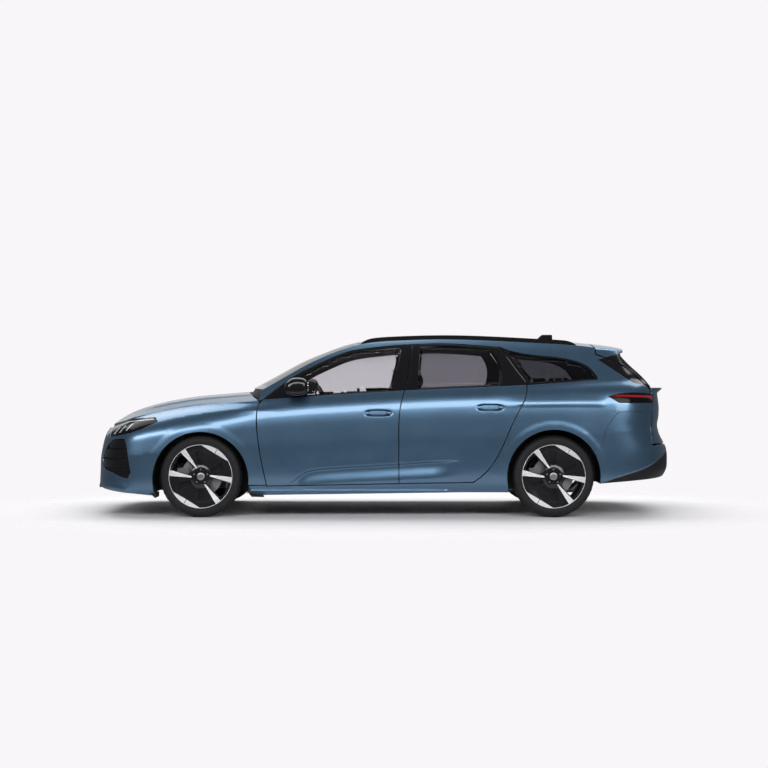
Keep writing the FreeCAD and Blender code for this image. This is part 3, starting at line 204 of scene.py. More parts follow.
def relief(s, z):
    # what stands out of the plain form, in millimetres
    out = np.zeros(np.broadcast(s, z).shape)
    out = out + facetOut * ramp(softFacet(s) - z, 0, 100) * (1 - ramp(s, -2130, -2040))
    out = out - diffuserIn * ramp(softDiffuser(s) - z, -2, 12) * ramp(s, 1600, 1700)
    out = out + (skirt["out"] * ramp(skirt["top"] - z, 0, skirt["tall"]) * ramp(s, -1070, -1030)
                 * (1 - ramp(s, 440, 520)))
    out = out - recess(s, z)
    under = softCrease(s) - z
    strength = ramp(s, -790, -600) * (1 - ramp(s, 330, 600))
    out = out - crease["depth"] * strength * ramp(under, 0, crease["drop"]) * (1 - ramp(under, crease["drop"], 145))
    out = out + crease["lip"] * strength * ramp(under, -130, 0) * (1 - ramp(under, 0, crease["drop"]))
    for station, height, radius, rise in zip(archStation, archHeight, archRadius, flareRise):
        dx, dz = s - station, z - height
        away = np.hypot(dx, dz)
        around = ramp(dz / np.maximum(away, 1), 0.1, 0.7)
        out = out + rise * around * (1 - ramp(away, radius + flare["start"], radius + flare["stop"]))
    over = z - softWingCrease(s)
    strength = ramp(s, -1850, -1650) * (1 - ramp(s, -1000, -780))
    out = out + wingRidge["out"] * strength * np.exp(-np.abs(over) / wingRidge["width"])
    over = z - softRearCrease(s)
    strength = ramp(s, 820, 1150) * (1 - ramp(s, 1600, 1750))
    width = np.where(over > 0, rearRidge["over"], rearRidge["under"])
    out = out + rearRidge["out"] * strength * np.exp(-(over / width) ** 2)
    return out


def sideHalf(gx, z):
    sill = sillAt(gx)
    belt = softBelt(gx)
    share = (z - sill) / (belt - sill)
    return softWidest(gx) - softFoot(share) - softInset(gx) * softShoulder(share) - softLean(z - belt)


# The two ends of the form: where each begins, its tip at a height, and how much skin it takes
bodyEnds = ((noseJoin, softNose, -noseRun), (tailJoin, softTail, tailRun))


def onForm(s, z):
    # s follows the skin: it is the station between the two ends, and turns with the body at nose and tail
    s, z = np.broadcast_arrays(np.asarray(s, float), np.asarray(z, float))
    turn = np.full(s.shape, math.pi / 2)
    for join, tip, run in bodyEnds:
        turn = np.where((s - join) * run > 0, (1 - (s - join) / run) * math.pi / 2, turn)
    c, sn = np.cos(turn), np.sin(turn)
    r = (np.abs(c) ** capPower + np.abs(sn) ** capPower) ** (-1 / capPower)
    gx = s
    for join, tip, run in bodyEnds:
        gx = np.where((s - join) * run > 0, join + (tip(z) - join) * r * c, gx)
    gy = (sideHalf(gx, z) + relief(s, z)) * r * sn
    return gx, gy


def toFrame(gx, y, z):
    # from the drawing grid's millimetres to the frame's metres
    return np.stack([(gx + gridShift) * mm, y * mm, np.broadcast_to(z, np.shape(gx)) * mm], axis=-1)


def sideSkin(s, z):
    gx, gy = onForm(s, z)
    return toFrame(gx, -gy, z)


def unroll(points):
    # outline points given as seen from the side, as (station, height), turned into the skin's own s
    result = []
    for gx, z in points:
        for join, tip, run in bodyEnds:
            if (gx - join) * run > 0:
                along = min(0.9999, (gx - join) / (float(tip(z)) - join))
                turn = math.atan2((1 - along ** capPower) ** (1 / capPower), along)
                gx = join + (1 - 2 * turn / math.pi) * run
        result.append((gx, z))
    return result


def curve(points, step):
    # evenly spaced points on the natural cubic curve through a table
    pts = np.array(points, float)
    if len(pts) == 2:
        count = max(1, int(round(np.hypot(*(pts[1] - pts[0])) / step)))
        return [tuple(pts[0] + (pts[1] - pts[0]) * i / count) for i in range(count + 1)]
    t = np.concatenate([[0], np.cumsum(np.hypot(*np.diff(pts, axis=0).T))])
    h = np.diff(t)
    n = len(pts)
    a = np.eye(n)
    b = np.zeros((n, 2))
    for i in range(1, n - 1):
        a[i, i - 1:i + 2] = [h[i - 1], 2 * (h[i - 1] + h[i]), h[i]]
        b[i] = 6 * ((pts[i + 1] - pts[i]) / h[i] - (pts[i] - pts[i - 1]) / h[i - 1])
    m = np.linalg.solve(a, b)
    count = max(2, int(round(t[-1] / step)))
    out = []
    for value in np.linspace(0, t[-1], count + 1):
        i = max(0, min(n - 2, int(np.searchsorted(t, value, side="right")) - 1))
        u, v = t[i + 1] - value, value - t[i]
        p = ((m[i] * u ** 3 + m[i + 1] * v ** 3) / (6 * h[i]) + (pts[i] / h[i] - m[i] * h[i] / 6) * u
             + (pts[i + 1] / h[i] - m[i + 1] * h[i] / 6) * v)
        out.append((float(p[0]), float(p[1])))
    return out


def outline(*tables, inset=0.0, unrolled=True, step=None):
    # a closed loop from tables that run round anticlockwise, moved inwards by inset
    loop = []
    for table in tables:
        loop += curve(table, step or fine)[:-1]
    moved = []
    for i, point in enumerate(loop):
        before, after = loop[i - 1], loop[(i + 1) % len(loop)]
        a = (point[0] - before[0], point[1] - before[1])
        b = (after[0] - point[0], after[1] - point[1])
        la, lb = math.hypot(*a) or 1, math.hypot(*b) or 1
        na, nb = (-a[1] / la, a[0] / la), (-b[1] / lb, b[0] / lb)
        grow = inset / max(0.3, 1 + na[0] * nb[0] + na[1] * nb[1])
        moved.append((point[0] + (na[0] + nb[0]) * grow, point[1] + (na[1] + nb[1]) * grow))
    return unroll(moved) if unrolled else moved


def dense(loop, step):
    # the same corners with points put in along the long sides
    result = []
    for a, b in zip(loop, loop[1:] + loop[:1]):
        count = max(1, int(math.hypot(b[0] - a[0], b[1] - a[1]) / step))
        result += [(a[0] + (b[0] - a[0]) * i / count, a[1] + (b[1] - a[1]) * i / count) for i in range(count)]
    return result


def ring(gx, z, radius, steps=None):
    steps = steps or max(16, int(2 * math.pi * radius / fine))
    turn = [2 * math.pi * i / steps for i in range(steps)]
    return [(gx + radius * math.cos(a), z + radius * math.sin(a)) for a in turn]


def signed(value, power):
    return math.copysign(abs(value) ** power, value)


def oval(u, v, long, high, power, count, closing=0):
    # a loop between an ellipse (power 1) and a rectangle (power 0)
    turn = [2 * math.pi * i / count for i in range(count + closing)]
    return [(u + long * signed(math.cos(a), power), v + high * signed(math.sin(a), power)) for a in turn]


def rectangle(start, stop, half):
    return dense([(start, -half), (stop, -half), (stop, half), (start, half)], fine)


def inside(loop, pts):
    # even-odd test for many points at once
    loop = np.array(loop)
    x, y = pts[:, 0], pts[:, 1]
    hit = np.zeros(len(pts), bool)
    for (x0, y0), (x1, y1) in zip(loop, np.roll(loop, -1, axis=0)):
        if y0 == y1:
            continue
        crossing = ((y0 > y) != (y1 > y)) & (x < (x1 - x0) * (y - y0) / (y1 - y0) + x0)
        hit ^= crossing
    return hit


def within(loops, cuts, pts):
    keep = np.zeros(len(pts), bool)
    for loop in loops:
        keep |= inside(loop, pts)
    for loop in cuts:
        keep &= ~inside(loop, pts)
    return keep


def flatPanel(loops, cuts, splits, size):
    # a flat sheet in the skin's plane, trimmed along its loops
    verts, edges = [], []
    for loop in list(loops) + list(cuts):
        start = len(verts)
        verts += [Vector(p) for p in loop]
        edges += [(start + i, start + (i + 1) % len(loop)) for i in range(len(loop))]
    for line in splits:
        start = len(verts)
        verts += [Vector(p) for p in line]
        edges += [(start + i, start + i + 1) for i in range(len(line) - 1)]
    lows = np.min([np.min(np.array(loop), axis=0) for loop in loops], axis=0)
    highs = np.max([np.max(np.array(loop), axis=0) for loop in loops], axis=0)
    us = np.arange(lows[0] + size / 2, highs[0], size)
    vs = np.arange(lows[1] + size / 2, highs[1], size)
    grid = np.stack(np.meshgrid(us, vs), axis=-1).reshape(-1, 2)
    near = kdtree.KDTree(len(verts))
    for i, p in enumerate(verts):
        near.insert((p.x, p.y, 0), i)
    near.balance()
    grid = [p for p in grid[within(loops, cuts, grid)] if near.find((p[0], p[1], 0))[2] > 0.5 * size]
    verts += [Vector(p) for p in grid]
    result = geometry.delaunay_2d_cdt(verts, edges, [], 0, 0.8)
    points, faces = result[0], result[2]
    bm = bmesh.new()
    made = [bm.verts.new((p.x, p.y, 0)) for p in points]
    centres = np.array([[sum(points[i].x for i in f) / 3, sum(points[i].y for i in f) / 3] for f in faces])
    for f, wanted in zip(faces, within(loops, cuts, centres)):
        if wanted:
            bm.faces.new([made[i] for i in f])
    bmesh.ops.delete(bm, geom=[v for v in bm.verts if not v.link_faces], context="VERTS")
    locked = {(round(x), round(y)) for line in splits for x, y in line}
    free = [f for f in bm.faces if not any((round(v.co.x), round(v.co.y)) in locked for v in f.verts)]
    bmesh.ops.join_triangles(bm, faces=free, angle_face_threshold=3.1, angle_shape_threshold=0.6)
    return bm


flatDepth = 20.0
linerThick, grooveWide, grooveDeep = 3.0, 2.5, 5.0


def facing(place, u, v):
    # the direction a sheet faces at its points
    e = 0.5
    n = np.cross(place(u + e, v) - place(u - e, v), place(u, v + e) - place(u, v - e))
    return n / np.maximum(np.linalg.norm(n, axis=-1, keepdims=True), 1e-12)


def drape(bm, place, depthAt, inwardAt, roll, forward=None):
    # wraps the flat panel onto the form; flat z is how far a point lies under the skin
    bm.verts.ensure_lookup_table()
    flat = np.array([v.co for v in bm.verts])
    u, v, under = flat[:, 0], flat[:, 1], -flat[:, 2]
    p, n = place(u, v), facing(place, u, v)
    deep = depthAt(u, v) if callable(depthAt) else np.full(len(u), float(depthAt))
    amount = np.where(under <= roll, under, roll + (under - roll) / (flatDepth - roll) * (deep - roll))
    way = inwardAt(u, v, n)
    blendIn = np.clip(under / max(roll, 0.1), 0, 1)[:, None]
    way = -n * (1 - blendIn) + way * blendIn
    p = p + way * amount[:, None] * mm
    if forward is not None:
        p[:, 0] += forward(u, amount) * mm
    layer = bm.verts.layers.float_vector.new("skinNormal")
    for vert, point, normal, low in zip(bm.verts, p, n, under):
        vert.co = point
        vert[layer] = normal if low < 0.02 else (0, 0, 0)
    return bm


def sideways(u, v, n):
    # across the car for the sides, turning with the skin at the two ends
    way = -n.copy()
    way[:, 2] = 0
    way /= np.maximum(np.linalg.norm(way, axis=1, keepdims=True), 1e-9)
    return way


def downwards(u, v, n):
    way = np.zeros_like(n)
    way[:, 2] = -1
    return way


def straight(u, v, n):
    return -n


def linked(name, data):
    obj = bpy.data.objects.new(name, data)
    bpy.context.scene.collection.objects.link(obj)
    return obj


def addObject(name, bm, materials=(), angle=50.0):
    limit = math.radians(angle)
    for f in bm.faces:
        f.smooth = True
    for e in bm.edges:
        e.smooth = len(e.link_faces) != 2 or e.calc_face_angle(0) < limit
    mesh = bpy.data.meshes.new(name)
    layer = bm.verts.layers.float_vector.get("skinNormal")
    normals = [tuple(v[layer]) for v in bm.verts] if layer else None
    if layer:
        bm.verts.layers.float_vector.remove(layer)
    bm.to_mesh(mesh)
    bm.free()
    if normals and any(n != (0, 0, 0) for n in normals):
        mesh.normals_split_custom_set_from_vertices(normals)
    for finish in materials:
        mesh.materials.append(finish)
    return linked(name, mesh)


def addPiece(name, bm, materials, body, side="left", replaces=(), slot=None, angle=40.0):
    if side == "right":
        mirrorMesh(bm)
    obj = addObject(name, bm, materials, angle)
    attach(obj, body)
    if replaces:
        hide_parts(*replaces)
    return obj


def newVerts(made):
    return [g for g in made["geom"] if isinstance(g, bmesh.types.BMVert)]


def mirrorMesh(bm, keepBoth=False):
    # turns the left-hand mesh into the right-hand one, or joins both
    layer = bm.verts.layers.float_vector.get("skinNormal")
    if keepBoth:
        copy = bmesh.ops.duplicate(bm, geom=bm.verts[:] + bm.edges[:] + bm.faces[:])
        verts = newVerts(copy)
        faces = [g for g in copy["geom"] if isinstance(g, bmesh.types.BMFace)]
    else:
        verts, faces = bm.verts[:], bm.faces[:]
    for v in verts:
        v.co.y = -v.co.y
        if layer:
            n = v[layer]
            v[layer] = (n[0], -n[1], n[2])
    bmesh.ops.reverse_faces(bm, faces=faces)
    if keepBoth:
        middle = [v for v in bm.verts if abs(v.co.y) < 0.6 * mm]
        for v in middle:
            v.co.y = 0
        bmesh.ops.remove_doubles(bm, verts=middle, dist=0.5 * mm)


def panelMesh(place, loops, cuts=(), splits=(), size=None, depth=22.0, roll=2.0, inward=sideways, shade=None,
              back=1, openAt=None, forward=None):
    bm = flatPanel(loops, cuts, splits, size or cell)
    top = bm.faces[:]
    if shade:
        centres = np.array([f.calc_center_median()[:2] for f in top])
        for f, index in zip(top, shade(centres[:, 0], centres[:, 1])):
            f.material_index = int(index)
    border = [e for e in bm.edges if len(e.link_faces) == 1]
    if openAt:
        border = [e for e in border if not openAt((e.verts[0].co + e.verts[1].co) / 2)]
    for v in newVerts(bmesh.ops.extrude_edge_only(bm, edges=border)):
        v.co.z = -flatDepth
    copy = bmesh.ops.duplicate(bm, geom=top)["geom"]
    under = [g for g in copy if isinstance(g, bmesh.types.BMFace)]
    for v in {v for f in under for v in f.verts}:
        v.co.z = -flatDepth
    for f in under:
        f.material_index = back
    bmesh.ops.reverse_faces(bm, faces=under)
    bmesh.ops.remove_doubles(bm, verts=[v for v in bm.verts if v.co.z < -1], dist=0.01)
    bmesh.ops.recalc_face_normals(bm, faces=bm.faces[:])
    if roll > 0:
        bm.normal_update()
        edges = [e for e in bm.edges if e.verts[0].co.z > -0.1 and e.verts[1].co.z > -0.1 and len(e.link_faces) == 2
                 and min(abs(f.normal.z) for f in e.link_faces) < 0.5]
        bmesh.ops.bevel(bm, geom=edges, offset=roll, segments=2, profile=0.5, affect="EDGES", material=-1,
                        clamp_overlap=True)
    return drape(bm, place, depth, inward, max(roll, 0.01), forward)


def panel(name, materials, body, replaces=(), slot=None, side="left", both=False, **kw):
    # the same material in front and behind when only one is given
    bm = panelMesh(**kw)
    if both:
        mirrorMesh(bm, keepBoth=True)
    return addPiece(name, bm, materials if len(materials) > 1 else materials * 2, body, side, replaces, slot, 50.0)


# Materials: shared effects are small node groups
def fill(tree, made, feeds=(), values=()):
    # gives a node its input values and the sockets that feed it
    for key, value in dict(values).items():
        made.inputs[key].default_value = value
    for key, socket in dict(feeds).items():
        tree.links.new(socket, made.inputs[key])
    return made


def node(tree, kind, feeds=(), values=(), **settings):
    made = tree.nodes.new("ShaderNode" + kind)
    for key, value in settings.items():
        setattr(made, key, value)
    return fill(tree, made, feeds, values)


def grainGroup():
    # fine grain: a colour factor, a roughness value and a bump height from two noises
    tree = bpy.data.node_groups.new("Grain", "ShaderNodeTree")
    for label, value in (("Scale", 200.0), ("Roughness", 0.5), ("Spread", 0.1), ("Depth", 0.3)):
        item = tree.interface.new_socket(name=label, in_out="INPUT", socket_type="NodeSocketFloat")
        item.default_value = value
    for label, kind in (("Factor", "Float"), ("Roughness", "Float"), ("Normal", "Vector")):
        tree.interface.new_socket(name=label, in_out="OUTPUT", socket_type="NodeSocket" + kind)
    given, sink = tree.nodes.new("NodeGroupInput").outputs, tree.nodes.new("NodeGroupOutput")
    place = node(tree, "TexCoord").outputs["Object"]
    small = node(tree, "TexNoise", {"Vector": place, "Scale": given["Scale"]}, {"Detail": 4}).outputs["Fac"]
    broad = node(tree, "TexNoise", {"Vector": place}, {"Scale": 7.0, "Detail": 3}).outputs["Fac"]
    half = node(tree, "Math", {0: broad}, {1: 0.5}, operation="MULTIPLY").outputs[0]
    mix = node(tree, "Math", {0: small, 2: half}, {1: 0.5}, operation="MULTIPLY_ADD").outputs[0]
    centred = node(tree, "Math", {0: mix}, {1: 0.5}, operation="SUBTRACT").outputs[0]
    rough = node(tree, "Math", {0: centred, 1: given["Spread"], 2: given["Roughness"]}, operation="MULTIPLY_ADD",
                 use_clamp=True).outputs[0]
    bump = node(tree, "Bump", {"Strength": given["Depth"], "Height": small}, {"Distance": 0.0008})
    fill(tree, sink, {"Factor": mix, "Roughness": rough, "Normal": bump.outputs["Normal"]})
    return tree


grain = grainGroup()


def newMaterial(name):
    mat = bpy.data.materials.new(name)
    mat.use_nodes = True
    return mat, mat.node_tree


def material(name, dark, light, roughness, spread=0.12, scale=220.0, depth=0.12, metallic=0.0, coat=0.0,
             coatRoughness=0.04, **fixed):
    mat, tree = newMaterial(name)
    use = node(tree, "Group", (), {"Scale": scale, "Roughness": roughness, "Spread": spread, "Depth": depth},
               node_tree=grain).outputs
    colours = node(tree, "Mix", {0: use["Factor"]}, {6: (*dark, 1), 7: (*light, 1)}, data_type="RGBA")
    fill(tree, tree.nodes["Principled BSDF"],
         {"Base Color": colours.outputs[2], "Roughness": use["Roughness"], "Normal": use["Normal"]},
         {"Metallic": metallic, "Coat Weight": coat, "Coat Roughness": coatRoughness, **fixed})
    return mat


def glassMaterial(name, tint, roughness=0.01):
    # thin tinted glass: mostly see-through, with a mirror coat
    mat, tree = newMaterial(name)
    tree.nodes.remove(tree.nodes["Principled BSDF"])
    place = node(tree, "TexCoord").outputs["Object"]
    noise = node(tree, "TexNoise", {"Vector": place}, {"Scale": 6.0}).outputs["Fac"]
    shade = node(tree, "Mix", {0: noise}, {6: (*[v * 0.97 for v in tint], 1), 7: (*tint, 1)}, data_type="RGBA")
    passing = node(tree, "BsdfTransparent", {"Color": shade.outputs[2]})
    bump = node(tree, "Bump", {"Height": noise}, {"Strength": 0.02, "Distance": 0.001})
    spread = node(tree, "MapRange", {"Value": noise}, {"To Min": roughness, "To Max": roughness + 0.02})
    mirror = node(tree, "BsdfGlossy", {"Normal": bump.outputs["Normal"], "Roughness": spread.outputs["Result"]})
    fresnel = node(tree, "Fresnel", (), {"IOR": 1.5})
    mixer = node(tree, "MixShader", {0: fresnel.outputs["Fac"], 1: passing.outputs[0], 2: mirror.outputs[0]})
    fill(tree, tree.nodes["Material Output"], {"Surface": mixer.outputs[0]})
    return mat


paint = material("BluePaint", (0.072, 0.145, 0.235), (0.105, 0.195, 0.300), 0.30, 0.10, 900.0, 0.03, 0.8, 0.6, 0.05)
# paint for the inner and under faces of the panels: duller, less metallic and without clear coat, and its blue
# darkened as painted shade
shadedInsidePaint = material("ShadedInsidePaint", (0.03, 0.075, 0.12), (0.04, 0.095, 0.15), 0.45, 0.2, 300.0, 0.1, 0.4)
gloss = material("GlossBlack", (0.004, 0.004, 0.005), (0.008, 0.008, 0.009), 0.14, 0.06, 300.0, 0.02, 0.0, 0.25, 0.03,
                 **{"Specular IOR Level": 0.35})
plastic = material("BlackPlastic", (0.005, 0.005, 0.006), (0.012, 0.012, 0.013), 0.55, 0.25, 700.0, 0.35,
                   **{"Specular IOR Level": 0.3})
rubber = material("Rubber", (0.010, 0.010, 0.010), (0.020, 0.020, 0.020), 0.68, 0.2, 400.0, 0.3)
tyreRubber = material("TyreRubber", (0.006, 0.006, 0.007), (0.013, 0.013, 0.014), 0.66, 0.22, 260.0, 0.35,
                      **{"Specular IOR Level": 0.3})
alloyDark = material("DarkAlloy", (0.006, 0.006, 0.007), (0.014, 0.014, 0.015), 0.16, 0.08, 240.0, 0.03, 0.0, 0.3,
                     0.03, **{"Specular IOR Level": 0.35})
alloyBright = material("CutAlloy", (0.66, 0.67, 0.69), (0.80, 0.81, 0.83), 0.34, 0.12, 520.0, 0.06, 0.25, 0.3)
steel = material("Steel", (0.30, 0.30, 0.31), (0.46, 0.46, 0.47), 0.32, 0.2, 180.0, 0.12, 1.0)
castIron = material("CastIron", (0.10, 0.10, 0.105), (0.20, 0.20, 0.21), 0.55, 0.2, 240.0, 0.5, 0.7)
under = material("Underbody", (0.014, 0.014, 0.015), (0.032, 0.032, 0.034), 0.7, 0.25, 120.0, 0.5)
chrome = material("Chrome", (0.70, 0.71, 0.72), (0.80, 0.81, 0.82), 0.10, 0.06, 300.0, 0.03, 1.0)
mirrorGlass = material("MirrorGlass", (0.80, 0.82, 0.84), (0.86, 0.88, 0.90), 0.03, 0.02, 60.0, 0.01, 1.0)
trim = material("InnerTrim", (0.020, 0.020, 0.022), (0.040, 0.040, 0.043), 0.62, 0.2, 900.0, 0.4)
cloth = material("WovenCloth", (0.035, 0.036, 0.040), (0.075, 0.077, 0.083), 0.85, 0.15, 1400.0, 0.9)
clearGlass = glassMaterial("ClearGlass", (0.90, 0.895, 0.91))
greyGlass = glassMaterial("GreyGlass", (0.66, 0.655, 0.68))
darkGlass = glassMaterial("DarkGlass", (0.47, 0.475, 0.50))
redGlass = material("RedLens", (0.30, 0.004, 0.008), (0.42, 0.008, 0.012), 0.10, 0.05, 300.0, 0.03, 0.0, 1.0, 0.02)
whiteBar = material("LightBar", (0.50, 0.51, 0.53), (0.66, 0.68, 0.70), 0.2, 0.08, 200.0, 0.03, 0.0, 0.3)
lampBlack = material("LampBlack", (0.004, 0.004, 0.005), (0.008, 0.008, 0.010), 0.12, 0.06, 300.0, 0.02,
                     **{"Specular IOR Level": 0.12})
plateWhite = material("PlateWhite", (0.70, 0.70, 0.69), (0.78, 0.78, 0.77), 0.4, 0.1, 200.0, 0.05)
print("materials made")

# Shut lines, each side of an outline as a short table of (station, height)
shutGap = 6.0
doorLead = [(-925, 244), (-956, 388), (-995, 626), (-1002, 808), (-990, 872), (-934, 932)]
doorRoofFront = [(-934, 932), (-685, 1112), (-500, 1206), (-311, 1284), (-100, 1320), (107, 1340), (204, 1345)]
doorSeam = [(97, 263), (95, 640), (112, 877), (144, 995), (204, 1345)]
doorRoofRear = [(204, 1345), (402, 1352), (650, 1342), (889, 1322)]
doorTail = [(674, 272), (777, 360), (969, 715), (1044, 862), (1087, 973), (1085, 1040), (1040, 1108), (965, 1218),
            (889, 1322)]
doorFoot = [(-925, 244), (97, 263)]
doorFootRear = [(97, 263), (674, 272)]
frontWindow = ([(-770, 934), (40, 984)], [(40, 984), (125, 1322)],
               [(125, 1322), (-100, 1303), (-311, 1266), (-500, 1186), (-655, 1108)], [(-655, 1108), (-770, 934)])
rearWindow = ([(243, 997), (887, 1024)], [(887, 1024), (894, 1172), (813, 1305)],
              [(813, 1305), (650, 1324), (402, 1335), (266, 1330)], [(266, 1330), (243, 997)])
quarterWindow = ([(1120, 1042), (1630, 1076)], [(1630, 1076), (1575, 1152)],
                 [(1575, 1152), (1490, 1196), (1232, 1240), (945, 1292)], [(945, 1292), (1120, 1042)])
doorTables = {"front": (doorFoot, doorSeam, doorRoofFront[::-1], doorLead[::-1]),
              "rear": (doorFootRear, doorTail, doorRoofRear[::-1], doorSeam[::-1])}
windowTables = {"front": frontWindow, "rear": rearWindow}
beltLine = [(s, float(softBelt(s)) + 1.0) for s in np.arange(-1080, 1760, fine)]
sides = ("left", "right")


glassRecess, glassDepth, glassRoll = 7.0, 4.6, 0.5


def overBelt(s, z):
    return z - softBelt(s)


def doorDepthAt(s, z):
    return through([(-110, 110), (40, 46)], overBelt(s, z)) - 1.0


def sideDepthAt(s, z):
    return through([(-260, 135), (20, 62)], overBelt(s, z)) - 1.0


def formLines():
    # lines on the side that the meshes follow, so that its creases stay crisp
    step = 0.8 * cell
    lines = []
    for drop in (0, 0.5 * crease["drop"], crease["drop"]):
        lines.append([(s, float(softCrease(s)) - drop) for s in np.arange(-760, 560, step)])
    lines.append([(s, float(softWingCrease(s))) for s in np.arange(-1840, -790, step)])
    for drop in (0, 20):
        lines.append([(s, float(softRearCrease(s)) - drop) for s in np.arange(840, 1700, step)])
    for station, height, long, high in handles.values():
        for share in (handleRecess["floor"], 0.8, 1.0):
            lines.append(oval(station, height, share * long, share * high, 0.667, 48, closing=1))
    for share in (0, 0.33, 0.67, 1):
        lines.append([(s, skirt["top"] - share * skirt["tall"]) for s in np.arange(-1075, 530, step)])
    for station, height, radius in zip(archStation, archHeight, archRadius):
        for wide in (flare["start"], flare["middle"], flare["stop"]):
            r = radius + wide
            lines.append([(station + r * math.cos(a), height + r * math.sin(a))
                          for a in np.arange(math.radians(12), math.radians(168), step / r)])
    return lines


creases = formLines()


def raised(offset):
    # a layer this far outside the skin, in millimetres
    def place(s, z):
        far = offset(np.asarray(s, float), np.asarray(z, float)) if callable(offset) else np.full(np.shape(s), offset)
        return sideSkin(s, z) + facing(sideSkin, s, z) * far[..., None] * mm
    return place


def paneSkin(s, z):
    # panes lie a little further in than the paint
    return sideSkin(s, z) + np.array([0, glassRecess * mm, 0])


# Doors: painted to the belt, black round the windows
for end in ("front", "rear"):
    loop = outline(*doorTables[end], inset=shutGap / 2)
    stations = [p[0] for p in loop]
    first, span = min(stations), max(stations) - min(stations)
    line = [p for p in beltLine if first - 20 < p[0] < first + span + 20]
    for side in sides:
        body = end + "_door_" + side
        panel(end + "_door_skin_" + side, [paint, trim, gloss], body, [body], "paint", side=side,
              place=sideSkin, loops=[loop], cuts=[outline(*windowTables[end])], splits=[line] + creases,
              depth=doorDepthAt, roll=2.2,
              shade=lambda s, z: np.where(overBelt(s, z) > 1.0, 2, 0),
              forward=lambda s, d, first=first, span=span: -0.42 * (s - first) / span * d)
        panel(end + "_door_glass_" + side, [clearGlass if end == "front" else greyGlass], body,
              [end + "_door_window_" + side], "glass", side=side, place=paneSkin,
              loops=[outline(*windowTables[end], inset=0.6)], depth=glassDepth, roll=glassRoll, size=2 * cell)
        station, height = handles[end][:2]
        panel(end + "_door_handle_" + side, [paint, gloss], body, slot="paint", side=side,
              place=raised(lambda s, z: recess(s, z) + 5.0), loops=[oval(station, height, 103, 15, 0.5, 40)],
              depth=11.0, roll=4.0, size=9)
    print(end + " doors made")

# Body sides
postTables = ([(14, 290), (170, 290)], [(170, 290), (175, 900), (245, 1350)], [(245, 1350), (145, 1350)],
              [(145, 1350), (60, 900), (14, 290)])


def postStart(s, z):
    return through([(-110, 130), (40, 55)], overBelt(s, z))


def postEnd(s, z):
    return through([(-110, 160), (60, 96), (300, 62)], overBelt(s, z)) + 6.0


frameTables = ([(-1060, 172), (2071, 214)], [(2071, 214), (2071, 600), (2066, 950), (1990, 1110), (1840, 1235),
               (1645, 1320)],
               [(1645, 1320), (1500, 1337), (1232, 1354), (885, 1373), (402, 1386), (107, 1378), (-200, 1348),
                (-330, 1312), (-560, 1218), (-765, 1105), (-965, 990), (-1016, 962)],
               [(-1016, 962), (-1022, 900), (-1060, 172)])
frameLoop = outline(*frameTables)
quarterLoop = outline(*quarterWindow)
quarterBlack = ([(1040, 1020), (1300, 1040), (1640, 1067)]
                + curve([(1650, 1078), (1590, 1160), (1498, 1209), (1234, 1254), (947, 1306), (880, 1332)], fine)
                + [(860, 1300)])
bumperSeam = curve([(1586, 452), (1640, 508), (1670, 600), (1720, 725), (1793, 817)], fine)
bumperRoom = unroll([(1560, 0), (1560, 440)] + bumperSeam + [(1900, 819), (2010, 822), (2130, 824), (2130, 0)])
pillarSlope = [(1640, 1262), (1857, 1170), (2015, 1035), (2076, 985)]
slopeRoom = unroll([(1640, 1500)] + curve(pillarSlope, fine) + [(2130, 985), (2130, 1500)])
wingRoom = [(-1200, 246), (-900, 246), (-900, 910), (-1200, 910)]
lampTables = ([(1800, 886), (2100, 884)], [(2100, 884), (2100, 954)],
              [(2100, 954), (1790, 957), (1713, 938)], [(1713, 938), (1800, 886)])
lampLoop = outline(*lampTables)
bonnetEdge = [(-1140, 872), (-1090, 899), (-1000, 909), (-987, 920), (-983, 962), (-983, 1100), (-1300, 1100)]
rearArch = ring(gridRearAxle, archHeight[1], archRadius[1])
frontArch = ring(gridFrontAxle, archHeight[0], archRadius[0])
doorRooms = [outline(*doorTables[end], inset=-shutGap / 2 - 1) for end in ("front", "rear")]
rearBlack = unroll(dense([(1658, 1224), (1927, 1041), (2090, 1012), (2100, 1120), (1900, 1330), (1816, 1268)],
                         fine))


def thirdInside(*loops):
    # picks the third material inside the loops
    return lambda s, z: np.where(within(loops, (), np.stack([s, z], -1)), 2, 0)


for side in sides:
    panel("body_side_" + side, [paint, shadedInsidePaint, gloss], "root", ["side_frame_" + side], "paint", side=side,
          place=sideSkin, loops=[frameLoop], roll=1.6, depth=sideDepthAt, shade=thirdInside(quarterBlack, rearBlack),
          cuts=doorRooms + [rearArch, quarterLoop, bumperRoom, slopeRoom, lampLoop, bonnetEdge, wingRoom],
          splits=[quarterBlack + quarterBlack[:1], rearBlack + rearBlack[:1]] + creases)
    panel("quarter_glass_" + side, [darkGlass], "root", ["quarter_windows"], "glass", side=side, place=paneSkin,
          loops=[outline(*quarterWindow, inset=0.6)], depth=glassDepth, roll=glassRoll, size=2 * cell)
    for end in ("front", "rear"):
        panel(end + "_door_seal_" + side, [rubber], "root", slot="black_trim", side=side,
              place=raised(lambda s, z: -postStart(s, z) - (2.0 if end == "rear" else 0.0)),
              loops=[outline(*doorTables[end], inset=-16)], cuts=[outline(*doorTables[end], inset=17)],
              depth=5.0, roll=1.0, size=2 * cell)
    panel("door_post_" + side, [plastic, trim], "root", slot="black_trim", side=side,
          place=raised(lambda s, z: -postStart(s, z) - 4.0), loops=[outline(*postTables)],
          depth=lambda s, z: postEnd(s, z) - postStart(s, z) - 4.0, roll=2.0, size=2 * cell)
print("body sides made")

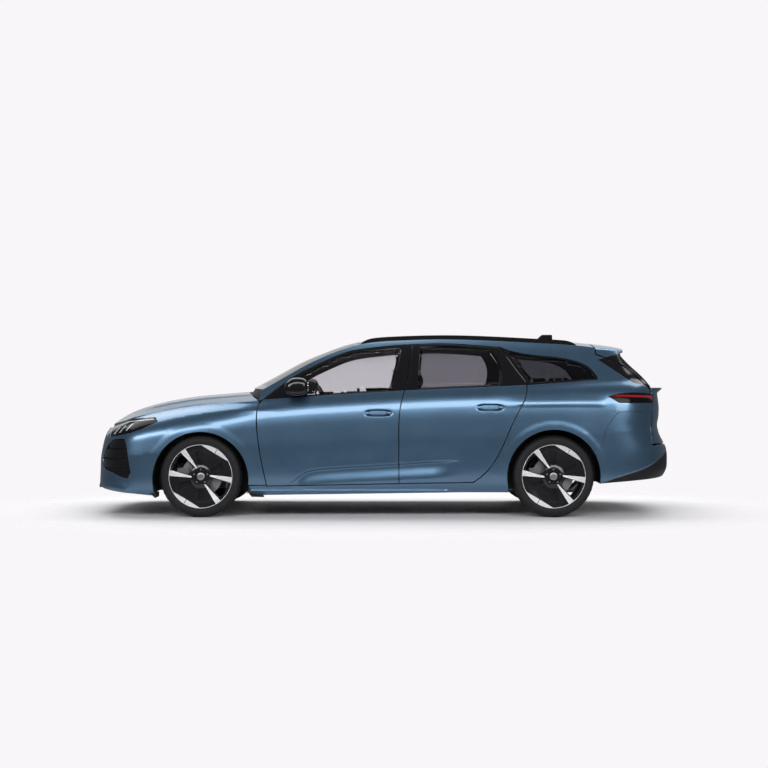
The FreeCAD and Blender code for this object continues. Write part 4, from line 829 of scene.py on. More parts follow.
# Front wings
wingTables = ([(-1900, 250), (-928, 250)], [(-928, 250)] + doorLead[1:-1] + [(-985, 906)],
              [(-985, 906), (-1200, 890), (-1438, 869), (-1802, 809), (-2060, 745)],
              [(-2060, 745), (-1900, 250)])
noseSeam = [(-1680, 560), (-1682, 648), (-1775, 742)]
seamRoom = unroll([(-1680, 0)] + curve(noseSeam, fine)
                  + [(-1800, 774), (-2016, 758), (-2090, 730), (-2500, 730), (-2500, 0)])
headTables = ([(-2172, 617), (-1931, 671), (-1783, 738)], [(-1783, 738), (-1803, 770)],
              [(-1803, 770), (-2016, 752), (-2180, 697)], [(-2180, 697), (-2172, 617)])
headLoop = outline(*headTables)
for side in sides:
    panel("front_wing_" + side, [paint, shadedInsidePaint], "root", ["front_wings"], "paint", side=side,
          place=sideSkin, loops=[outline(*wingTables, inset=shutGap / 2)],
          cuts=[frontArch, seamRoom, doorRooms[0], headLoop], splits=creases, depth=24.0, roll=1.6)
print("wings made")

# Bumpers
def stationAcross(gy, z, front):
    # the s at which the skin is gy from the middle, at a height
    ss = np.linspace(*((noseMiddle, noseJoin) if front else (tailMiddle, tailJoin)), 400)
    return float(np.interp(gy, onForm(ss, z)[1], ss))


def middlePanel(name, materials, body, middle, **kw):
    # a panel that crosses the middle line, made as one half and mirrored
    return panel(name, materials, body, both=True, openAt=lambda p: abs(p.x - middle) < 0.6, **kw)


grille = {"low": 352.0, "high": 640.0, "reach": 380.0, "rows": 9, "columns": 12, "pitch": 31, "bar": 17}
grilleEdge = [(grille["reach"] * 0.86, grille["low"]), (grille["reach"], 430), (grille["reach"] * 1.02, 560),
              (grille["reach"] * 0.96, grille["high"])]


def noseLoop(points):
    # points given as (distance from the middle, height) on the nose
    return [(stationAcross(y, z, True), z) for y, z in points]


grilleLoop = [(noseMiddle - 5, grille["high"]), (noseMiddle - 5, grille["low"])] + noseLoop(curve(grilleEdge, fine))
intakeTables = ([(-2430, 372), (-2300, 345), (-2180, 317), (-2098, 298)], [(-2098, 298), (-2058, 352)],
                [(-2058, 352), (-2082, 440), (-2118, 549), (-2153, 610)], [(-2153, 610), (-2310, 600)],
                [(-2310, 600), (-2430, 520), (-2466, 446), (-2430, 372)])
intakeLoop = outline(*intakeTables, unrolled=False)
frontOutline = dense([(noseMiddle, 226)] + curve([(-2500, 222), (-2127, 190), (-1810, 168)], fine)
                     + [(-1600, 160), (-1600, 560)] + curve([(-1681, 560), (-1683, 648), (-1777, 740)], fine)
                     + unroll([(-1990, 715), (-2150, 690)]) + [(noseMiddle, 668)], fine)
facetLine = [(-2640, 372), (-2563, 370), (-2480, 354), (-2300, 326), (-2092, 292), (-2047, 330)]
middlePanel("front_bumper_skin", [paint, plastic], "root", replaces=["front_bumper"], slot="paint", middle=noseMiddle,
            place=sideSkin, loops=[frontOutline], cuts=[frontArch, headLoop, intakeLoop, grilleLoop],
            splits=creases + [facetLine], depth=24.0, roll=1.4)
rearOutline = dense([(1600, 258), (1700, 264), (2082, 286), (2400, 300), (tailMiddle, 300), (tailMiddle, 552)]
                    + unroll([(2071, 552), (2071, 640), (2068, 740), (2066, 824), (2010, 820.4), (1900, 817.4)]
                             + [(x + 1.6, z - 1.2) for x, z in bumperSeam[::-1]]) + [(1560, 440)], fine)
diffuserEdge = [(s, float(softDiffuser(s))) for s in np.arange(1590, tailMiddle + 1, 12)]
middlePanel("rear_bumper_skin", [paint, plastic, plastic], "root", replaces=["rear_bumper"], slot="paint",
            middle=tailMiddle, place=sideSkin, loops=[rearOutline], cuts=[rearArch],
            splits=creases + [diffuserEdge], depth=24.0, roll=1.4,
            shade=lambda s, z: np.where(z < softDiffuser(s), 2, 0))
print("bumpers made")


# Bonnet, roof, windscreen and tailgate have their own planes: u along the car, w across it
def crossForm(stationAt, halfAt, heightAt, length, width):
    def place(u, w):
        u, w = np.asarray(u, float) / length, np.asarray(w, float) / width
        return toFrame(stationAt(u, w), w * halfAt(u), heightAt(u, w))
    return place


def formHalf(gx, z):
    # half width of the skin at a station seen from the side
    gx = np.asarray(gx, float)
    shares = [np.clip((gx - join) / (tip(z) - join), 0, 1) for join, tip, run in bodyEnds]
    front, back = [(1 - share ** capPower) ** (1 / capPower) for share in shares]
    return sideHalf(gx, z) * (front * back)


bonnet = {"span": 1100.0, "half": 740.0, "front": -2238.0, "frontEdge": -2060.0, "rear": -1118.0,
          "rearEdge": -1000.0, "ridge": 9.0}


def bonnetEnds(u):
    return (bonnet["front"] + (bonnet["rear"] - bonnet["front"]) * u,
            bonnet["frontEdge"] + (bonnet["rearEdge"] - bonnet["frontEdge"]) * u)


def bonnetStation(u, w):
    middle, edge = bonnetEnds(u)
    return middle + (edge - middle) * np.abs(w) ** 2.2


def bonnetHalf(u):
    edge = bonnetEnds(u)[1]
    return formHalf(edge, softBelt(edge)) - shutGap


def bonnetHeight(u, w):
    middle, edge = bonnetEnds(u)
    top, low = softBonnet(middle), softBelt(edge)
    ridge = bonnet["ridge"] * np.exp(-((np.abs(w) - 0.62) / 0.10) ** 2) * ramp(u, 0.02, 0.35)
    return top + (low - top) * np.abs(w) ** 2.2 + ridge


bonnetPlace = crossForm(bonnetStation, bonnetHalf, bonnetHeight, bonnet["span"], bonnet["half"])
panel("bonnet_skin", [paint, shadedInsidePaint], "bonnet", ["bonnet"], "paint", place=bonnetPlace,
      loops=[rectangle(0, bonnet["span"], bonnet["half"])], depth=22.0, roll=3.0, inward=downwards)

roof = {"span": 1898.0, "half": 560.0, "front": -258.0, "frontEdge": -196.0, "rear": 1640.0, "railInset": 62}
frameTop = curve(frameTables[2][::-1], 12)


def frameTopZ(gx):
    xs, zs = np.array(frameTop).T
    return np.interp(gx, xs, zs)


def roofStation(u, w):
    front = roof["front"] + (roof["frontEdge"] - roof["front"]) * w * w
    return front + (roof["rear"] - front) * u


def roofHalf(u):
    gx = roofStation(u, 1.0)
    return formHalf(gx, frameTopZ(gx)) - roof["railInset"] - 2.4


def roofHeight(u, w):
    gx = roofStation(u, w)
    middle, edge = softRoof(gx), frameTopZ(roofStation(u, 1.0)) + 2.0
    return middle + (edge - middle) * np.abs(w) ** 2.4


roofPlace = crossForm(roofStation, roofHalf, roofHeight, roof["span"], roof["half"])
panel("roof_skin", [paint, cloth], "root", ["roof_panel"], "paint", place=roofPlace,
      loops=[rectangle(0, roof["span"], roof["half"])], depth=26.0, roll=2.0, inward=downwards)

windscreen = {"span": 840.0, "half": 640.0}
screenEdge = curve([(-965, 990), (-765, 1105), (-560, 1218), (-330, 1312), (-204, 1347)], 20)
screenMid = curve(screenMiddle, 20)


def alongLine(line, u):
    pts = np.array(line)
    t = np.linspace(0, 1, len(pts))
    return np.interp(u, t, pts[:, 0]), np.interp(u, t, pts[:, 1])


def ruled(midLine, edgeLine, span, half, inset, power):
    # a sheet between a middle line and an edge line that stays inset from the side of the form
    def place(u, w):
        u, w = np.asarray(u, float) / span, np.asarray(w, float) / half
        edgeX, edgeZ = alongLine(edgeLine, u)
        midX, midZ = alongLine(midLine, u)
        k = np.abs(w) ** power
        return toFrame(midX + (edgeX - midX) * k, w * (formHalf(edgeX, edgeZ) - inset), midZ + (edgeZ - midZ) * k)
    return place


screenPlace = ruled(screenMid, screenEdge, windscreen["span"], windscreen["half"], roof["railInset"] + 1.6, 2.0)
screenInner = rectangle(60, windscreen["span"] - 30, windscreen["half"] - 20)
panel("windscreen_glass", [clearGlass, clearGlass, gloss], "root", ["windscreen"], "glass", place=screenPlace,
      loops=[rectangle(0, windscreen["span"], windscreen["half"])], splits=[screenInner + screenInner[:1]],
      depth=glassDepth, roll=0.8, inward=straight, size=1.4 * cell,
      shade=lambda u, w: 2 - thirdInside(screenInner)(u, w))

tailgate = {"low": 562.0, "high": 988.0, "rebateStation": 2077.0, "glassSpan": 420.0, "glassHalf": 600.0}


def rebateEdge(z):
    # the s of the tailgate's side edge at a height
    y = min(formHalf(tailgate["rebateStation"], z), formHalf(tailgate["rebateStation"], z + 20)) - 5 - 1.3 * shutGap
    return stationAcross(float(y), z, False)


gateOutline = dense([(tailMiddle, tailgate["low"]), (tailMiddle, tailgate["high"])]
                    + [(rebateEdge(z), z) for z in np.arange(tailgate["high"], tailgate["low"] - 1, -14)], fine)[::-1]
middlePanel("tailgate_skin", [paint, trim], "tailgate", replaces=["tailgate"], slot="paint", middle=tailMiddle,
            place=sideSkin, loops=[gateOutline], depth=40.0, roll=2.0)
# Down from the roof, so that the outside faces up and back
gateMiddleLine = curve([(2165, 980), (2125, 1024), (1945, 1185), (1880, 1322)], 12)[::-1]
gateEdgeLine = curve([(2092, 980), (2058, 1044), (1902, 1196), (1815, 1292)], 12)[::-1]
gatePlace = ruled(gateMiddleLine, gateEdgeLine, tailgate["glassSpan"], tailgate["glassHalf"], 2 * shutGap, 2.4)
gateGlass = rectangle(0.22 * tailgate["glassSpan"], 0.80 * tailgate["glassSpan"], 0.82 * tailgate["glassHalf"])


def gateShade(u, w):
    # painted at its two upper corners, as the spoiler's ends
    p = gatePlace(u, w)
    gx, z = p[:, 0] / mm - gridShift, p[:, 2] / mm
    return np.where((np.abs(w) > 0.84 * tailgate["glassHalf"]) & (z > 1224 + 0.28 * (gx - 1658)), 2, 0)


panel("tailgate_frame", [gloss, trim, paint], "tailgate", slot="black_trim", place=gatePlace,
      loops=[rectangle(0, tailgate["glassSpan"], tailgate["glassHalf"])], cuts=[gateGlass], depth=22.0, roll=2.0,
      inward=straight, shade=gateShade)
cornerLoop = unroll(dense([(1650, 1272), (1857, 1184), (2010, 1054), (2046, 1020), (2058, 1040), (1902, 1194),
                           (1842, 1256), (1852, 1288), (1650, 1306)], 14))
cornerPaint = unroll(dense([(1600, 1208), (1826, 1271), (1900, 1290), (1900, 1400), (1600, 1400)], 14))
for side in sides:
    panel("tailgate_corner_" + side, [gloss, trim, paint], "tailgate", slot="paint", side=side, place=sideSkin,
          loops=[cornerLoop], splits=[cornerPaint + cornerPaint[:1]], depth=26.0, roll=1.6,
          shade=thirdInside(cornerPaint))
panel("tailgate_glass", [darkGlass], "tailgate", ["tailgate_window"], "glass",
      place=lambda u, w: gatePlace(u, w) + np.array([-0.62, 0, -0.78]) * 6 * mm, loops=[gateGlass],
      depth=glassDepth, roll=glassRoll, inward=straight, size=1.4 * cell)

spoiler = {"span": 285.0, "half": 620.0, "thick": 50, "taper": 34}


def spoilerPlace(u, w):
    u, w = np.asarray(u, float) / spoiler["span"], np.asarray(w, float) / spoiler["half"]
    gx = roof["rear"] + (1925 - 57 * w * w - roof["rear"]) * u
    middle, edge = softRoof(gx), 1322 - 26 * u
    z = middle + (edge - middle) * np.abs(w) ** 2.4
    return toFrame(gx + shutGap * (1 - u), w * (640 - 40 * u - shutGap), z)


panel("spoiler_skin", [paint, plastic], "tailgate", slot="paint", place=spoilerPlace,
      loops=[rectangle(0, spoiler["span"], spoiler["half"])], roll=3.0, inward=downwards,
      depth=lambda u, w: spoiler["thick"] - spoiler["taper"] * u / spoiler["span"])
print("top panels made")

# Wheels. Flat coordinates are millimetres from the hub
def faceRise(r):
    # how far the face stands out from the wheel's middle plane
    return through([(0, 91), (62, 91), (95, 84), (170, 92), (225, 101), (246, 103)], r)


def wheelPlace(x, offset=0.0):
    def place(u, v):
        u, v = np.asarray(u, float), np.asarray(v, float)
        out = (faceRise(np.hypot(u, v)) + offset) * mm
        return np.stack([x + u * mm, -(wheelY + out), tyreRadius + v * mm], axis=-1)
    return place


def polar(r, degrees):
    return (r * math.cos(math.radians(degrees)), r * math.sin(math.radians(degrees)))


def arc(r, start, stop, count=14):
    return [polar(r, start + (stop - start) * i / count) for i in range(count + 1)]


def turnLoop(loop, degrees):
    c, sn = math.cos(math.radians(degrees)), math.sin(math.radians(degrees))
    return [(x * c - y * sn, x * sn + y * c) for x, y in loop]


spokeA = [polar(247, 119.0), polar(247, 129.6), polar(76, 121.5), polar(66, 112.5)]
spokeB = [polar(247, 168.0), polar(247, 178.6), polar(70, 188.5), polar(72, 179)]
spokeLoops = [dense(turnLoop(loop, k), 9) for loop in (spokeA, spokeB) for k in (0, 180)]
crescents = [arc(245.5, 28, 57.6) + [polar(209, 57.7)], arc(245.5, 59.2, 89.8) + [polar(209, 59.1)]]
crescentLoops = [dense(turnLoop(loop, k), 9) for loop in crescents for k in (0, 180)]
windowLoop = (arc(226, 131.5, 166.5)
              + [polar(r, degrees) for r, degrees in ((170, 169), (98, 170), (88, 150), (98, 131), (170, 130.5))])
windowCuts = [dense(turnLoop(windowLoop, k), 9) for k in (0, 180)]
pocket = [polar(196, 84), polar(200, 101), polar(150, 100), polar(88, 98), polar(88, 82), polar(150, 84)]
pocketB = [polar(188, 18), polar(200, 33), polar(150, 34), polar(88, 36), polar(88, 20), polar(150, 18)]
pocketCuts = [dense(turnLoop(loop, k), 9) for loop in (pocket, pocketB) for k in (0, 180)]
# (radius, distance out from the wheel's middle plane)
rimProfile = [(246, -104), (246, 103), (243, 103.5), (239, 102), (232, 98), (226, 88), (222, 60), (216, 20),
              (214, -60), (218, -94), (230, -101), (238, -106)]
discProfile = [(74, 26), (158, 26), (160, 24), (160, 17), (150, 16), (150, 11), (160, 10), (160, 3), (158, 1),
               (74, 1)]
hatProfile = [(0.01, 66), (70, 66), (77, 60), (78, 24), (74, 20), (0.01, 20)]
hubProfile = [(0.01, 88), (60, 88), (66, 82), (66, 40), (0.01, 40)]
capProfile = [(0.01, 96), (20, 96), (27, 95), (30, 92), (30, 84), (0.01, 84)]
boltProfile = [(0.01, 94), (6.5, 94), (8.5, 92), (8.5, 80), (0.01, 80)]
cupProfile = [(10, 92.6), (17, 92.6), (19, 90), (19, 78), (9, 78)]
lipProfile = [(246.2, 101), (246.2, 107.4), (244.6, 108.2), (243.0, 107.6), (243.0, 104)]
# (distance out from the wheel's middle plane, radius)
tyreHalf = [(0.0, 318.0), (9.0, 318.0), (9.6, 311.0), (17.0, 311.0), (17.6, 318.0), (40.0, 317.6), (40.6, 310.5),
            (48.0, 310.5), (48.6, 317.2), (66.0, 316.2), (78.0, 314.6), (92.0, 310.0), (100.0, 304.5),
            (106.0, 297.0), (110.0, 287.0), (112.4, 275.0), (111.0, 262.0), (108.0, 254.5), (109.5, 250.0),
            (106.5, 246.5)]


def lathe(profile, x, steps, centreZ=None):
    # a closed profile of (radius, distance out from the wheel's middle plane), turned about the axle
    bm = bmesh.new()
    z = tyreRadius if centreZ is None else centreZ
    verts = [bm.verts.new((x, -(wheelY + h * mm), z + r * mm)) for r, h in profile]
    edges = [bm.edges.new((a, b)) for a, b in zip(verts, verts[1:] + verts[:1])]
    bmesh.ops.spin(bm, geom=verts + edges, cent=(x, 0, z), axis=(0, 1, 0), dvec=(0, 0, 0), angle=2 * math.pi,
                   steps=steps, use_merge=True)
    bmesh.ops.remove_doubles(bm, verts=bm.verts[:], dist=0.00005)
    bmesh.ops.recalc_face_normals(bm, faces=bm.faces[:])
    return bm


def joinMeshes(parts):
    # several small meshes in one, each with its own material index
    whole = bmesh.new()
    for bm, index in parts:
        for f in bm.faces:
            f.material_index = index
        mesh = bpy.data.meshes.new("part")
        layer = bm.verts.layers.float_vector.get("skinNormal")
        if layer:
            bm.verts.layers.float_vector.remove(layer)
        bm.to_mesh(mesh)
        bm.free()
        whole.from_mesh(mesh)
        bpy.data.meshes.remove(mesh)
    return whole


def tyreMesh(x, steps):
    profile = [(r, h) for h, r in tyreHalf] + [(240, 100), (300, 96), (300, -96), (240, -100)]
    profile += [(r, -h) for h, r in tyreHalf[:0:-1]]
    bm = lathe(profile, x, steps)
    # cross grooves in the ribs and shoulder blocks, at every fourth step
    chosen = []
    for f in bm.faces:
        c = f.calc_center_median()
        r = math.hypot(c.x - x, c.z - tyreRadius) / mm
        out = abs(-c.y - wheelY) / mm
        turn = int(round(math.atan2(c.z - tyreRadius, c.x - x) / (2 * math.pi) * steps - 0.5)) % 4
        if turn == 0 and r > 306 and (49 < out < 98 or 18 < out < 40):
            chosen.append(f)
    bmesh.ops.inset_region(bm, faces=chosen, thickness=grooveWide * mm, depth=-grooveDeep * mm, use_even_offset=True)
    return bm


def inboard(u, v, n):
    return np.broadcast_to(np.array([0.0, 1.0, 0.0]), n.shape)


def wheelSet(end, side, x):
    body = end + "_wheel_" + side
    name = end + "_" + side
    steps = 144
    disc = ring(0, 0, 243, steps=90)
    face = panelMesh(place=wheelPlace(x), loops=[disc], cuts=windowCuts + pocketCuts, size=14, depth=13.0,
                     roll=1.6, inward=inboard, back=0)
    plate = panelMesh(place=wheelPlace(x, -22.0), loops=[disc], cuts=windowCuts, size=18, depth=6.0, roll=1.0,
                      inward=inboard, back=0)
    addPiece("wheel_face_" + name, face, [alloyDark], body, side, replaces=[body], slot="wheel_alloy")
    cuts = panelMesh(place=wheelPlace(x, 2.6), loops=spokeLoops + crescentLoops, size=10, depth=5.0, roll=0.9,
                     inward=inboard, back=0)
    addPiece("wheel_spokes_" + name, cuts, [alloyBright], body, side, slot="wheel_alloy")
    parts = [(plate, 0), (lathe(rimProfile, x, steps), 0), (lathe(hubProfile, x, 48), 0)]
    for k in range(5):
        u, v = polar(54, 90 + 72 * k)
        for profile, count, index in ((boltProfile, 6, 1), (cupProfile, 24, 0)):
            parts.append((lathe(profile, x + u * mm, count, tyreRadius + v * mm), index))
    addPiece("wheel_rim_" + name, joinMeshes(parts), [alloyDark, castIron], body, side, slot="wheel_alloy")
    addPiece("wheel_lip_" + name, lathe(lipProfile, x, steps), [alloyBright], body, side, slot="wheel_alloy")
    addPiece("wheel_cap_" + name, lathe(capProfile, x, 40), [steel], body, side, slot="wheel_alloy")
    addPiece("brake_disc_" + name, joinMeshes([(lathe(discProfile, x, steps), 0), (lathe(hatProfile, x, 48), 1)]),
             [steel, castIron], body, side, slot="bare_metal")
    addPiece("tyre_" + name, tyreMesh(x, 180), [tyreRubber], body, side,
             replaces=[end + "_tyre_" + side], slot="tyre")


for side in sides:
    wheelSet("front", side, frontAxleX)
    wheelSet("rear", side, rearAxleX)
print("wheels made")

# Headlamps: a black glass over a dark case, with slanted bars of light
lampBars = [[(-2135, 640), (-2127, 640), (-2088, 692), (-2097, 692)],
            [(-2085, 652), (-2077, 652), (-2034, 708), (-2043, 708)],
            [(-2030, 668), (-2021, 668), (-1973, 723), (-1983, 723)],
            [(-2160, 686), (-2016, 741), (-1812, 762), (-1813, 757), (-2016, 735), (-2158, 680)]]
redBar = [(1735, 938), (1850, 934), (2040, 926), (2085, 905), (2085, 944), (1800, 950)]
lamps = (("headlamp_glass_", "headlamp_bars_", "headlamp", headTables, whiteBar, lampBars, 8),
         ("tail_lamp_glass_", "tail_lamp_bar_", "tail_lamp", lampTables, redGlass, [redBar], 10))
for side in sides:
    for glass, bar, slot, tables, light, bars, size in lamps:
        panel(glass + side, [lampBlack], "root", [slot + "s"], slot, side=side, place=sideSkin,
              loops=[outline(*tables, inset=1.4)], depth=24.0, roll=1.6)
        panel(bar + side, [light], "root", slot=slot, side=side, place=raised(0.6), depth=2.0, roll=0.4, size=size,
              loops=[dense(unroll(loop), size) for loop in bars])
print("lamps made")

# Side intakes and the grille
def fins(loop, rows, lean, width):
    # slanted fins across an opening
    parts = []
    lows, highs = np.min(loop, axis=0), np.max(loop, axis=0)
    for i in range(rows):
        z = lows[1] + (highs[1] - lows[1]) * (i + 0.5) / rows
        pts = np.array([(u, z + lean * (u - lows[0])) for u in np.linspace(lows[0], highs[0], 160)])
        hit = inside(loop, pts)
        if hit.sum() < 6:
            continue
        us = pts[hit][:, 0]
        strip = ([(u, z + lean * (u - lows[0]) - width / 2) for u in np.linspace(us[0], us[-1], 24)]
                 + [(u, z + lean * (u - lows[0]) + width / 2) for u in np.linspace(us[-1], us[0], 24)])
        parts.append(strip)
    return parts


for side in sides:
    panel("intake_floor_" + side, [plastic], "root", slot="black_plastic", side=side, place=raised(-16.0),
          loops=[intakeLoop], depth=4.0, roll=0.5)
    panel("intake_fins_" + side, [gloss], "root", slot="black_plastic", side=side, place=raised(-5.0),
          loops=fins(intakeLoop, 4, -0.02, 62.0), depth=7.0, roll=2.0, size=12)
middlePanel("grille_floor", [plastic], "root", replaces=["grille"], slot="black_plastic", middle=noseMiddle,
            place=raised(-20.0), depth=4.0, roll=0.5,
            loops=[dense([(noseMiddle, grille["high"]), (noseMiddle, grille["low"])] + noseLoop(grilleEdge), 12)])
bars = []
edgeY, edgeZ = np.array(grilleEdge).T
for row in range(grille["rows"]):
    z = grille["low"] + 20 + row * grille["pitch"]
    for column in range(grille["columns"]):
        y0 = 16 + column * grille["pitch"] + (row % 2) * 15
        y1 = y0 + grille["bar"]
        if y1 > float(np.interp(z, edgeZ, edgeY)) - 8:
            continue
        tall, middle = 6.0 + 3.0 * row / 8, (y0 + y1) / 2
        bars.append(noseLoop([(y0, z), (middle, z - tall), (y1, z), (middle, z + tall)]))
for side in sides:
    panel("grille_cells_" + side, [chrome], "root", slot="bare_metal", side=side, place=raised(-6.0),
          loops=[dense(loop, 10) for loop in bars], depth=5.0, roll=0.8, size=12)
print("front openings made")

# Free forms: loops of points joined one after the other
def at(gx, y, z):
    return Vector(toFrame(gx, y, z))


def loft(rings):
    bm = bmesh.new()
    loops = []
    for points in rings:
        verts = [bm.verts.new(p) for p in points]
        loops.append([bm.edges.new((a, b)) for a, b in zip(verts, verts[1:] + verts[:1])])
    for one, two in zip(loops, loops[1:]):
        bmesh.ops.bridge_loops(bm, edges=one + two)
    for end in (loops[0], loops[-1]):
        bmesh.ops.edgeloop_fill(bm, edges=end)
    bmesh.ops.recalc_face_normals(bm, faces=bm.faces[:])
    return bm


def slab(points, near, far, edge=1.5):
    # a plate cut to a side outline, between two distances from the middle
    bm = bmesh.new()
    face = bm.faces.new([bm.verts.new(at(gx, near, z)) for gx, z in points])
    made = bmesh.ops.extrude_face_region(bm, geom=[face])
    bmesh.ops.translate(bm, verts=newVerts(made), vec=(0, (far - near) * mm, 0))
    bmesh.ops.recalc_face_normals(bm, faces=bm.faces[:])
    bmesh.ops.bevel(bm, geom=bm.edges[:], offset=edge * mm, segments=2, profile=0.5, affect="EDGES", material=-1,
                    clamp_overlap=True)
    return bm


def shellRing(gx, z, y, long, high, count=36):
    # egg-shaped: pointed to the front, squarer at the back
    points = []
    for i in range(count):
        turn = 2 * math.pi * i / count
        c, sn = math.cos(turn), math.sin(turn)
        droop = mirror["droop"] * c * c if c < 0 else 0
        points.append(at(gx + long * signed(c, 0.95 if c < 0 else 0.6), -y, z + high * signed(sn, 0.8) - droop))
    return points


# Sections are (distance from the middle of the car, half length, half height)
mirror = {"centre": (-692, 1013), "droop": 14, "pane": (942, 1009, 57, 40), "paneStation": -602,
          "shell": [(860, 40, 30), (868, 58, 44), (884, 76, 58), (910, 86, 66), (945, 91, 70), (980, 90, 69),
                    (1000, 82, 62), (1012, 66, 48), (1018, 42, 28)],
          "arm": [(800, 62, 12), (850, 56, 15), (880, 48, 18), (900, 34, 14)]}
for side in sides:
    gx, z = mirror["centre"]
    body = "front_door_" + side
    addPiece("mirror_shell_" + side, loft([shellRing(gx, z, *section) for section in mirror["shell"]]), [gloss],
             body, side, replaces=["door_mirror_" + side], slot="black_trim", angle=60)
    addPiece("mirror_arm_" + side, loft([shellRing(gx + 4, z - 52, *section) for section in mirror["arm"]]),
             [plastic], body, side, slot="black_trim")
    rim = oval(*mirror["pane"], 0.7, 40)
    pane = loft([[at(mirror["paneStation"] + out, -y, z) for y, z in rim] for out in (-1, 1.2)])
    addPiece("mirror_glass_" + side, pane, [mirrorGlass], body, side, slot="glass")
print("mirrors made")

# Antenna fin on the roof: (height, front, back, half width)
finSections = [(1385, 1240, 1380, 34), (1400, 1246, 1379, 26), (1420, 1264, 1377, 12), (1436, 1284, 1376, 6),
               (1441, 1294, 1374, 4)]
finTurn = [2 * math.pi * i / 32 for i in range(32)]
addPiece("antenna_fin", loft([[at((a + b) / 2 + (b - a) / 2 * signed(math.cos(t), 0.8), wide * math.sin(t), z)
                               for t in finTurn] for z, a, b, wide in finSections]), [gloss], "root",
         slot="black_trim")

# Lip across the tailgate under its glass: it stands out most in the middle
lipRings = []
lip = {"height": 975.0, "half": 640, "endReach": 10, "growth": 48}
for share in np.linspace(0, 1, 15):
    along = tailMiddle - lip["half"] * (1 - share)
    gx, gy = [float(v) for v in onForm(along, lip["height"])]
    aheadX, aheadY = [float(v) for v in onForm(along - 2.0, lip["height"])]
    way = Vector((gx - aheadX, aheadY - gy, 0)) if share < 1 else Vector((0, 1, 0))
    way.normalize()
    out = Vector((abs(way.y), -abs(way.x), 0))
    reach = lip["endReach"] + lip["growth"] * share ** 0.6
    section = ((-30, 990), (0.35 * reach, 997), (reach, 1003), (reach + 2, 998), (0.5 * reach, 978), (-4, 955),
               (-30, 955))
    lipRings.append([at(gx, -gy, 0) + (out * deep + Vector((0, 0, 1)) * z) * mm for deep, z in section])
for point in lipRings[-1]:
    point.y = 0
tailLip = loft(lipRings)
middleFaces = [f for f in tailLip.faces if all(abs(v.co.y) < 1e-6 for v in f.verts)]
bmesh.ops.delete(tailLip, geom=middleFaces, context="FACES")
mirrorMesh(tailLip, keepBoth=True)
addPiece("tailgate_lip", tailLip, [paint], "tailgate", slot="paint", angle=35)

# Blank number plates
plate = {"half": 260, "tall": 110}
for name, body, middle, low in (("front_plate", "root", noseMiddle, 400),
                                ("rear_plate", "tailgate", tailMiddle, 660)):
    end = middle - math.copysign(plate["half"], middle)
    loop = dense([(middle, low), (middle, low + plate["tall"]), (end, low + plate["tall"]), (end, low)], 20)
    middlePanel(name, [plateWhite], body, slot="black_plastic", middle=middle, place=raised(2.5), loops=[loop],
                depth=2.0, roll=0.6, size=20)

# Black lip under the nose
middlePanel("front_lip", [plastic], "root", slot="black_plastic", middle=noseMiddle, place=raised(4.0),
            loops=[dense([(noseMiddle, 216), (noseMiddle, 240), (-2700, 240), (-2560, 232), (-2560, 212)], 14)],
            depth=20.0, roll=2.0)

# Lining of the wheel arches, winglets and flaps
# Lows are the heights of a lining's two ends, inner its wall's distance from the middle, opening half its gap
archOuter, archSpace = 884, 5
archParts = {"front": dict(axle=gridFrontAxle, height=archHeight[0], radius=archRadius[0] + archSpace,
                           lows=(190, 186), inner=540, opening=290),
             "rear": dict(axle=gridRearAxle, height=archHeight[1], radius=archRadius[1] + archSpace,
                          lows=(206, 262), inner=612, opening=200)}


def archLining(axle, height, radius, lows, inner, opening):
    bm = bmesh.new()
    ahead, behind = [math.degrees(math.asin((height - low) / radius)) for low in lows]
    points = arc(radius, -behind, 180 + ahead, 48)
    verts = [bm.verts.new(at(axle + u, -archOuter, height + v)) for u, v in points]
    edges = [bm.edges.new(pair) for pair in zip(verts, verts[1:])]
    made = bmesh.ops.extrude_edge_only(bm, edges=edges)
    bmesh.ops.translate(bm, verts=newVerts(made), vec=(0, (archOuter - inner) * mm, 0))
    for sign in (-1, 1):
        rim = sorted([p for p in points if sign * p[0] > opening and p[1] < 270], key=lambda p: p[1])
        loop = [(sign * opening, rim[-1][1]), (sign * opening, rim[0][1])] + rim
        bm.faces.new([bm.verts.new(at(axle + u, -inner, height + v)) for u, v in loop])
    bmesh.ops.recalc_face_normals(bm, faces=bm.faces[:])
    bmesh.ops.solidify(bm, geom=bm.faces[:], thickness=linerThick * mm)
    return bm


slabs = (("front_flap_", [(-1832, 190), (-1782, 190), (-1784, 152), (-1794, 150)], -870, -700, plastic),
         ("sill_winglet_", [(-1075, 205), (-1058, 208), (-1020, 186), (-950, 172), (-946, 160), (-1040, 162)],
          -912, -862, gloss))
for side in sides:
    for end in ("front", "rear"):
        addPiece("arch_lining_%s_%s" % (end, side), archLining(**archParts[end]), [plastic], "root", side,
                 slot="black_plastic")
    for name, points, near, far, finish in slabs:
        addPiece(name + side, slab(points, near, far), [finish], "root", side, slot="black_plastic")
print("small parts made")


# Seats: rounded, crowned cushions with sewn lines
seams = {"depth": 0.07, "width": 9.0}
cushionPower = 6.0


